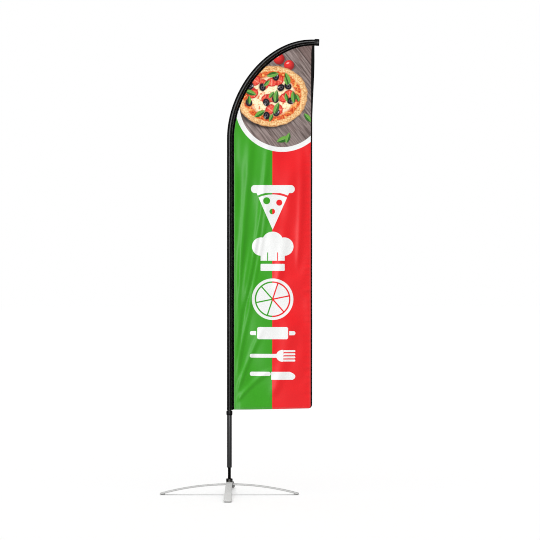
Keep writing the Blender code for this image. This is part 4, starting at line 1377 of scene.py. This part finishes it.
# ---------------------------------------------------------------------------------------------
# CAD nodes that stay: their finishes


def finish_nodes(finishes):
    """Gives each material to the CAD nodes that keep their own shape."""
    for material, nodes in finishes:
        for node in nodes:
            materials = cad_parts[node].data.materials
            materials.clear()
            materials.append(material)


# ---------------------------------------------------------------------------------------------
# Studio


def lamp(name, kind, power, heading, **settings):
    """Light that shines along a heading."""
    light = bpy.data.lights.new(name, kind)
    light.energy = power
    for key, value in settings.items():
        setattr(light, key, value)
    made = placed(name, light)
    made.rotation_euler = Vector(heading).to_track_quat("-Z", "Y").to_euler()
    return made


def box_light(name, place, target, width, height, power):
    """Rectangular light box, turned to a point."""
    heading = Vector(target) - Vector(place)
    made = lamp(name, "AREA", power, heading, shape="RECTANGLE", size=width, size_y=height)
    made.location = place
    return made


def sun_light(name, heading, spread, strength):
    """Distant soft light that gloss does not show."""
    made = lamp(name, "SUN", strength, heading, angle=math.radians(spread))
    made.visible_glossy = False
    return made


def linked(light, role, state, things):
    """Ties a light's receivers or blockers to these things: only them (INCLUDE) or all others (EXCLUDE)."""
    group = bpy.data.collections.new(f"{light.name}_{role}")
    for thing in things:
        group.objects.link(thing)
    for entry in group.collection_objects:
        entry.light_linking.link_state = state
    setattr(light.light_linking, role + "_collection", group)


def ray_switch(tree, kind, otherwise, when_seen):
    """Value that differs for one kind of ray."""
    rays = tree.nodes.new("ShaderNodeLightPath")
    switch = tree.nodes.new("ShaderNodeMapRange")
    tree.links.new(rays.outputs[kind], switch.inputs["Value"])
    for name, value in (("To Min", otherwise), ("To Max", when_seen)):
        if isinstance(value, bpy.types.NodeSocket):
            tree.links.new(value, switch.inputs[name])
        else:
            switch.inputs[name].default_value = value
    return switch.outputs["Result"]


def surround():
    """White to the camera, soft to cloth and paint, and nearly dark in the gloss of black parts."""
    world = bpy.data.worlds.new("studio")
    bpy.context.scene.world = world
    world.use_nodes = True
    tree = world.node_tree
    background = tree.nodes["Background"]
    soft = ray_switch(tree, "Is Glossy Ray", AMBIENT, AMBIENT_IN_GLOSS)
    strength = ray_switch(tree, "Is Camera Ray", soft, BACKDROP)
    tree.links.new(strength, background.inputs["Strength"])
    background.inputs["Color"].default_value = (1, 1, 1, 1)


def floor():
    """Plain white floor, lifted a little towards the camera so that only contact shadows show."""
    mesh = bpy.data.meshes.new("floor")
    mesh.from_pydata([(-30, -20, 0), (30, -20, 0), (30, 60, 0), (-30, 60, 0)], [], [(0, 1, 2, 3)])
    shader = Shader("floor_white", roughness=0.9)
    shader.set(Base_Color=(0.9, 0.9, 0.9), Specular_IOR_Level=0.0, Emission_Color=(1.0, 1.0, 1.0))
    lift = ray_switch(shader.tree, "Is Camera Ray", 0.0, FLOOR_LIFT)
    shader.tree.links.new(lift, shader.surface.inputs["Emission Strength"])
    mesh.materials.append(shader.material)
    made = placed("floor", mesh)
    made.visible_glossy = False
    return made


def studio():
    """Soft key from the upper left, a weak sun from above, and one front box each for cloth and pole."""
    surround()
    ground = floor()
    printed, sewn = (
        [bpy.data.objects[name] for name in names]
        for names in (("flag_cloth", "bottom_hem"), ("pole_sleeve_cloth", "fly_binding_tape"))
    )
    key = sun_light("key", (0.48, 0.62, -0.85), 50, KEY_STRENGTH)
    top = sun_light("top", (0, 0, -1), 45, TOP_STRENGTH)
    front = box_light("front_box", (AXIS_X, -8.6, 2.65), (AXIS_X, 0, 2.2), 4.0, 3.2, FRONT_POWER)
    side = box_light("cloth_box", (AXIS_X - 4.0, -7.9, 1.9), (AXIS_X + 0.1, 0, 1.9), 2.0, 3.8, CLOTH_POWER)
    linked(key, "receiver", "EXCLUDE", [ground])
    linked(top, "blocker", "EXCLUDE", printed + sewn)
    linked(front, "receiver", "EXCLUDE", printed + [ground])
    linked(side, "receiver", "INCLUDE", printed)


def camera():
    """Level long-lens view, square on to the flag; the lens is shifted to keep the flag centred."""
    distance = 12.0
    centre = 0.2395
    seat_x = 0.31
    lens = bpy.data.cameras.new("camera")
    lens.sensor_width = 36
    lens.lens = 135.6
    lens.shift_x = (centre - seat_x) / (distance * lens.sensor_width / lens.lens)
    lens.clip_end = 200
    seat = placed("camera", lens)
    seat.location = (AXIS_X + seat_x, -distance, 1.326)
    seat.rotation_euler = (math.pi / 2, 0, 0)
    bpy.context.scene.camera = seat


def hard_parts():
    """Base, bearing, pole and cap."""
    powder = powder_coat()
    steel = turned_metal("lathe_steel", srgb(138, 137, 133), 0.34)
    polished = turned_metal("polished_steel", srgb(205, 205, 205), 0.16, 0.3)
    black_plastic = moulded_plastic("moulded_black", srgb(14, 14, 15), 0.38)
    nylon = moulded_plastic("natural_nylon", srgb(222, 214, 190), 0.5)
    anodised = drawn_aluminium()
    mast_radius = node_radius("mast_lower_tube")

    arched_bar("lower_leg_bar", "lower_bar", "base", 0.0, powder)
    arched_bar("upper_leg_bar", "upper_bar", "cross_bar", math.pi / 2, powder)
    housing(steel)
    cover(black_plastic)
    spindle(black_plated())
    tube("bottom_tube_shell", "bottom_tube", 14.0 * MM, 1.5 * MM, anodised, "bottom_pole")
    tube("mast_tube", "mast_lower_tube", mast_radius, 1.4 * MM, anodised, "mast")
    tube_foot(black_plastic)
    collar(black_plastic)
    tip_cap(black_plastic)
    foot_pads(rubber("grey_rubber", srgb(168, 168, 167)))
    balls = [f"bearing_ball_{i + 1}" for i in range(9)]
    finish_nodes((
        (rubber("seal_rubber", srgb(18, 18, 18)), ["o_ring_lower", "o_ring_upper"]),
        (steel, ["pivot_nut", "pivot_washer", "retaining_ring", "spindle_circlip"]),
        (polished, ["bearing_outer_race", "bearing_inner_race"] + balls),
        (nylon, ["friction_washer", "ball_cage"]),
        (glass_fibre(), ["mast_upper_tube", "tip_rod"]),
        (black_plastic, ["thrust_cup", "mast_ferrule", "tip_ferrule"]),
    ))


def soft_parts():
    """Flag, sleeve, tape, hem and their stitching."""
    girth = math.tau * SLEEVE_RADIUS
    sleeve_black = black_cloth("sleeve_black", srgb(2, 2, 2), 0.38, 0.9, (1 * MM, girth - 1 * MM))
    tape_black = black_cloth("tape_black", srgb(6, 6, 6), 0.6, 0.12)
    black_thread = thread("black_thread", srgb(16, 16, 17))
    message_print = printed_cloth("message_print", message)
    shape = flag_cloth(flat_pattern(), printed_cloth("picture_print", picture_and_ring), message_print)
    pole_sleeve(sleeve_black)
    frames = edge_frames(shape)
    fly_binding(frames, tape_black)
    flange_stitches(black_thread)
    binding_stitches(frames, black_thread)
    bottom_hem(shape, message_print, thread("pale_thread", srgb(150, 150, 140)))


def main():
    scene = bpy.context.scene
    scene.view_settings.view_transform = "Standard"
    scene.cycles.filter_width = 1.0
    hard_parts()
    soft_parts()
    studio()
    camera()


main()
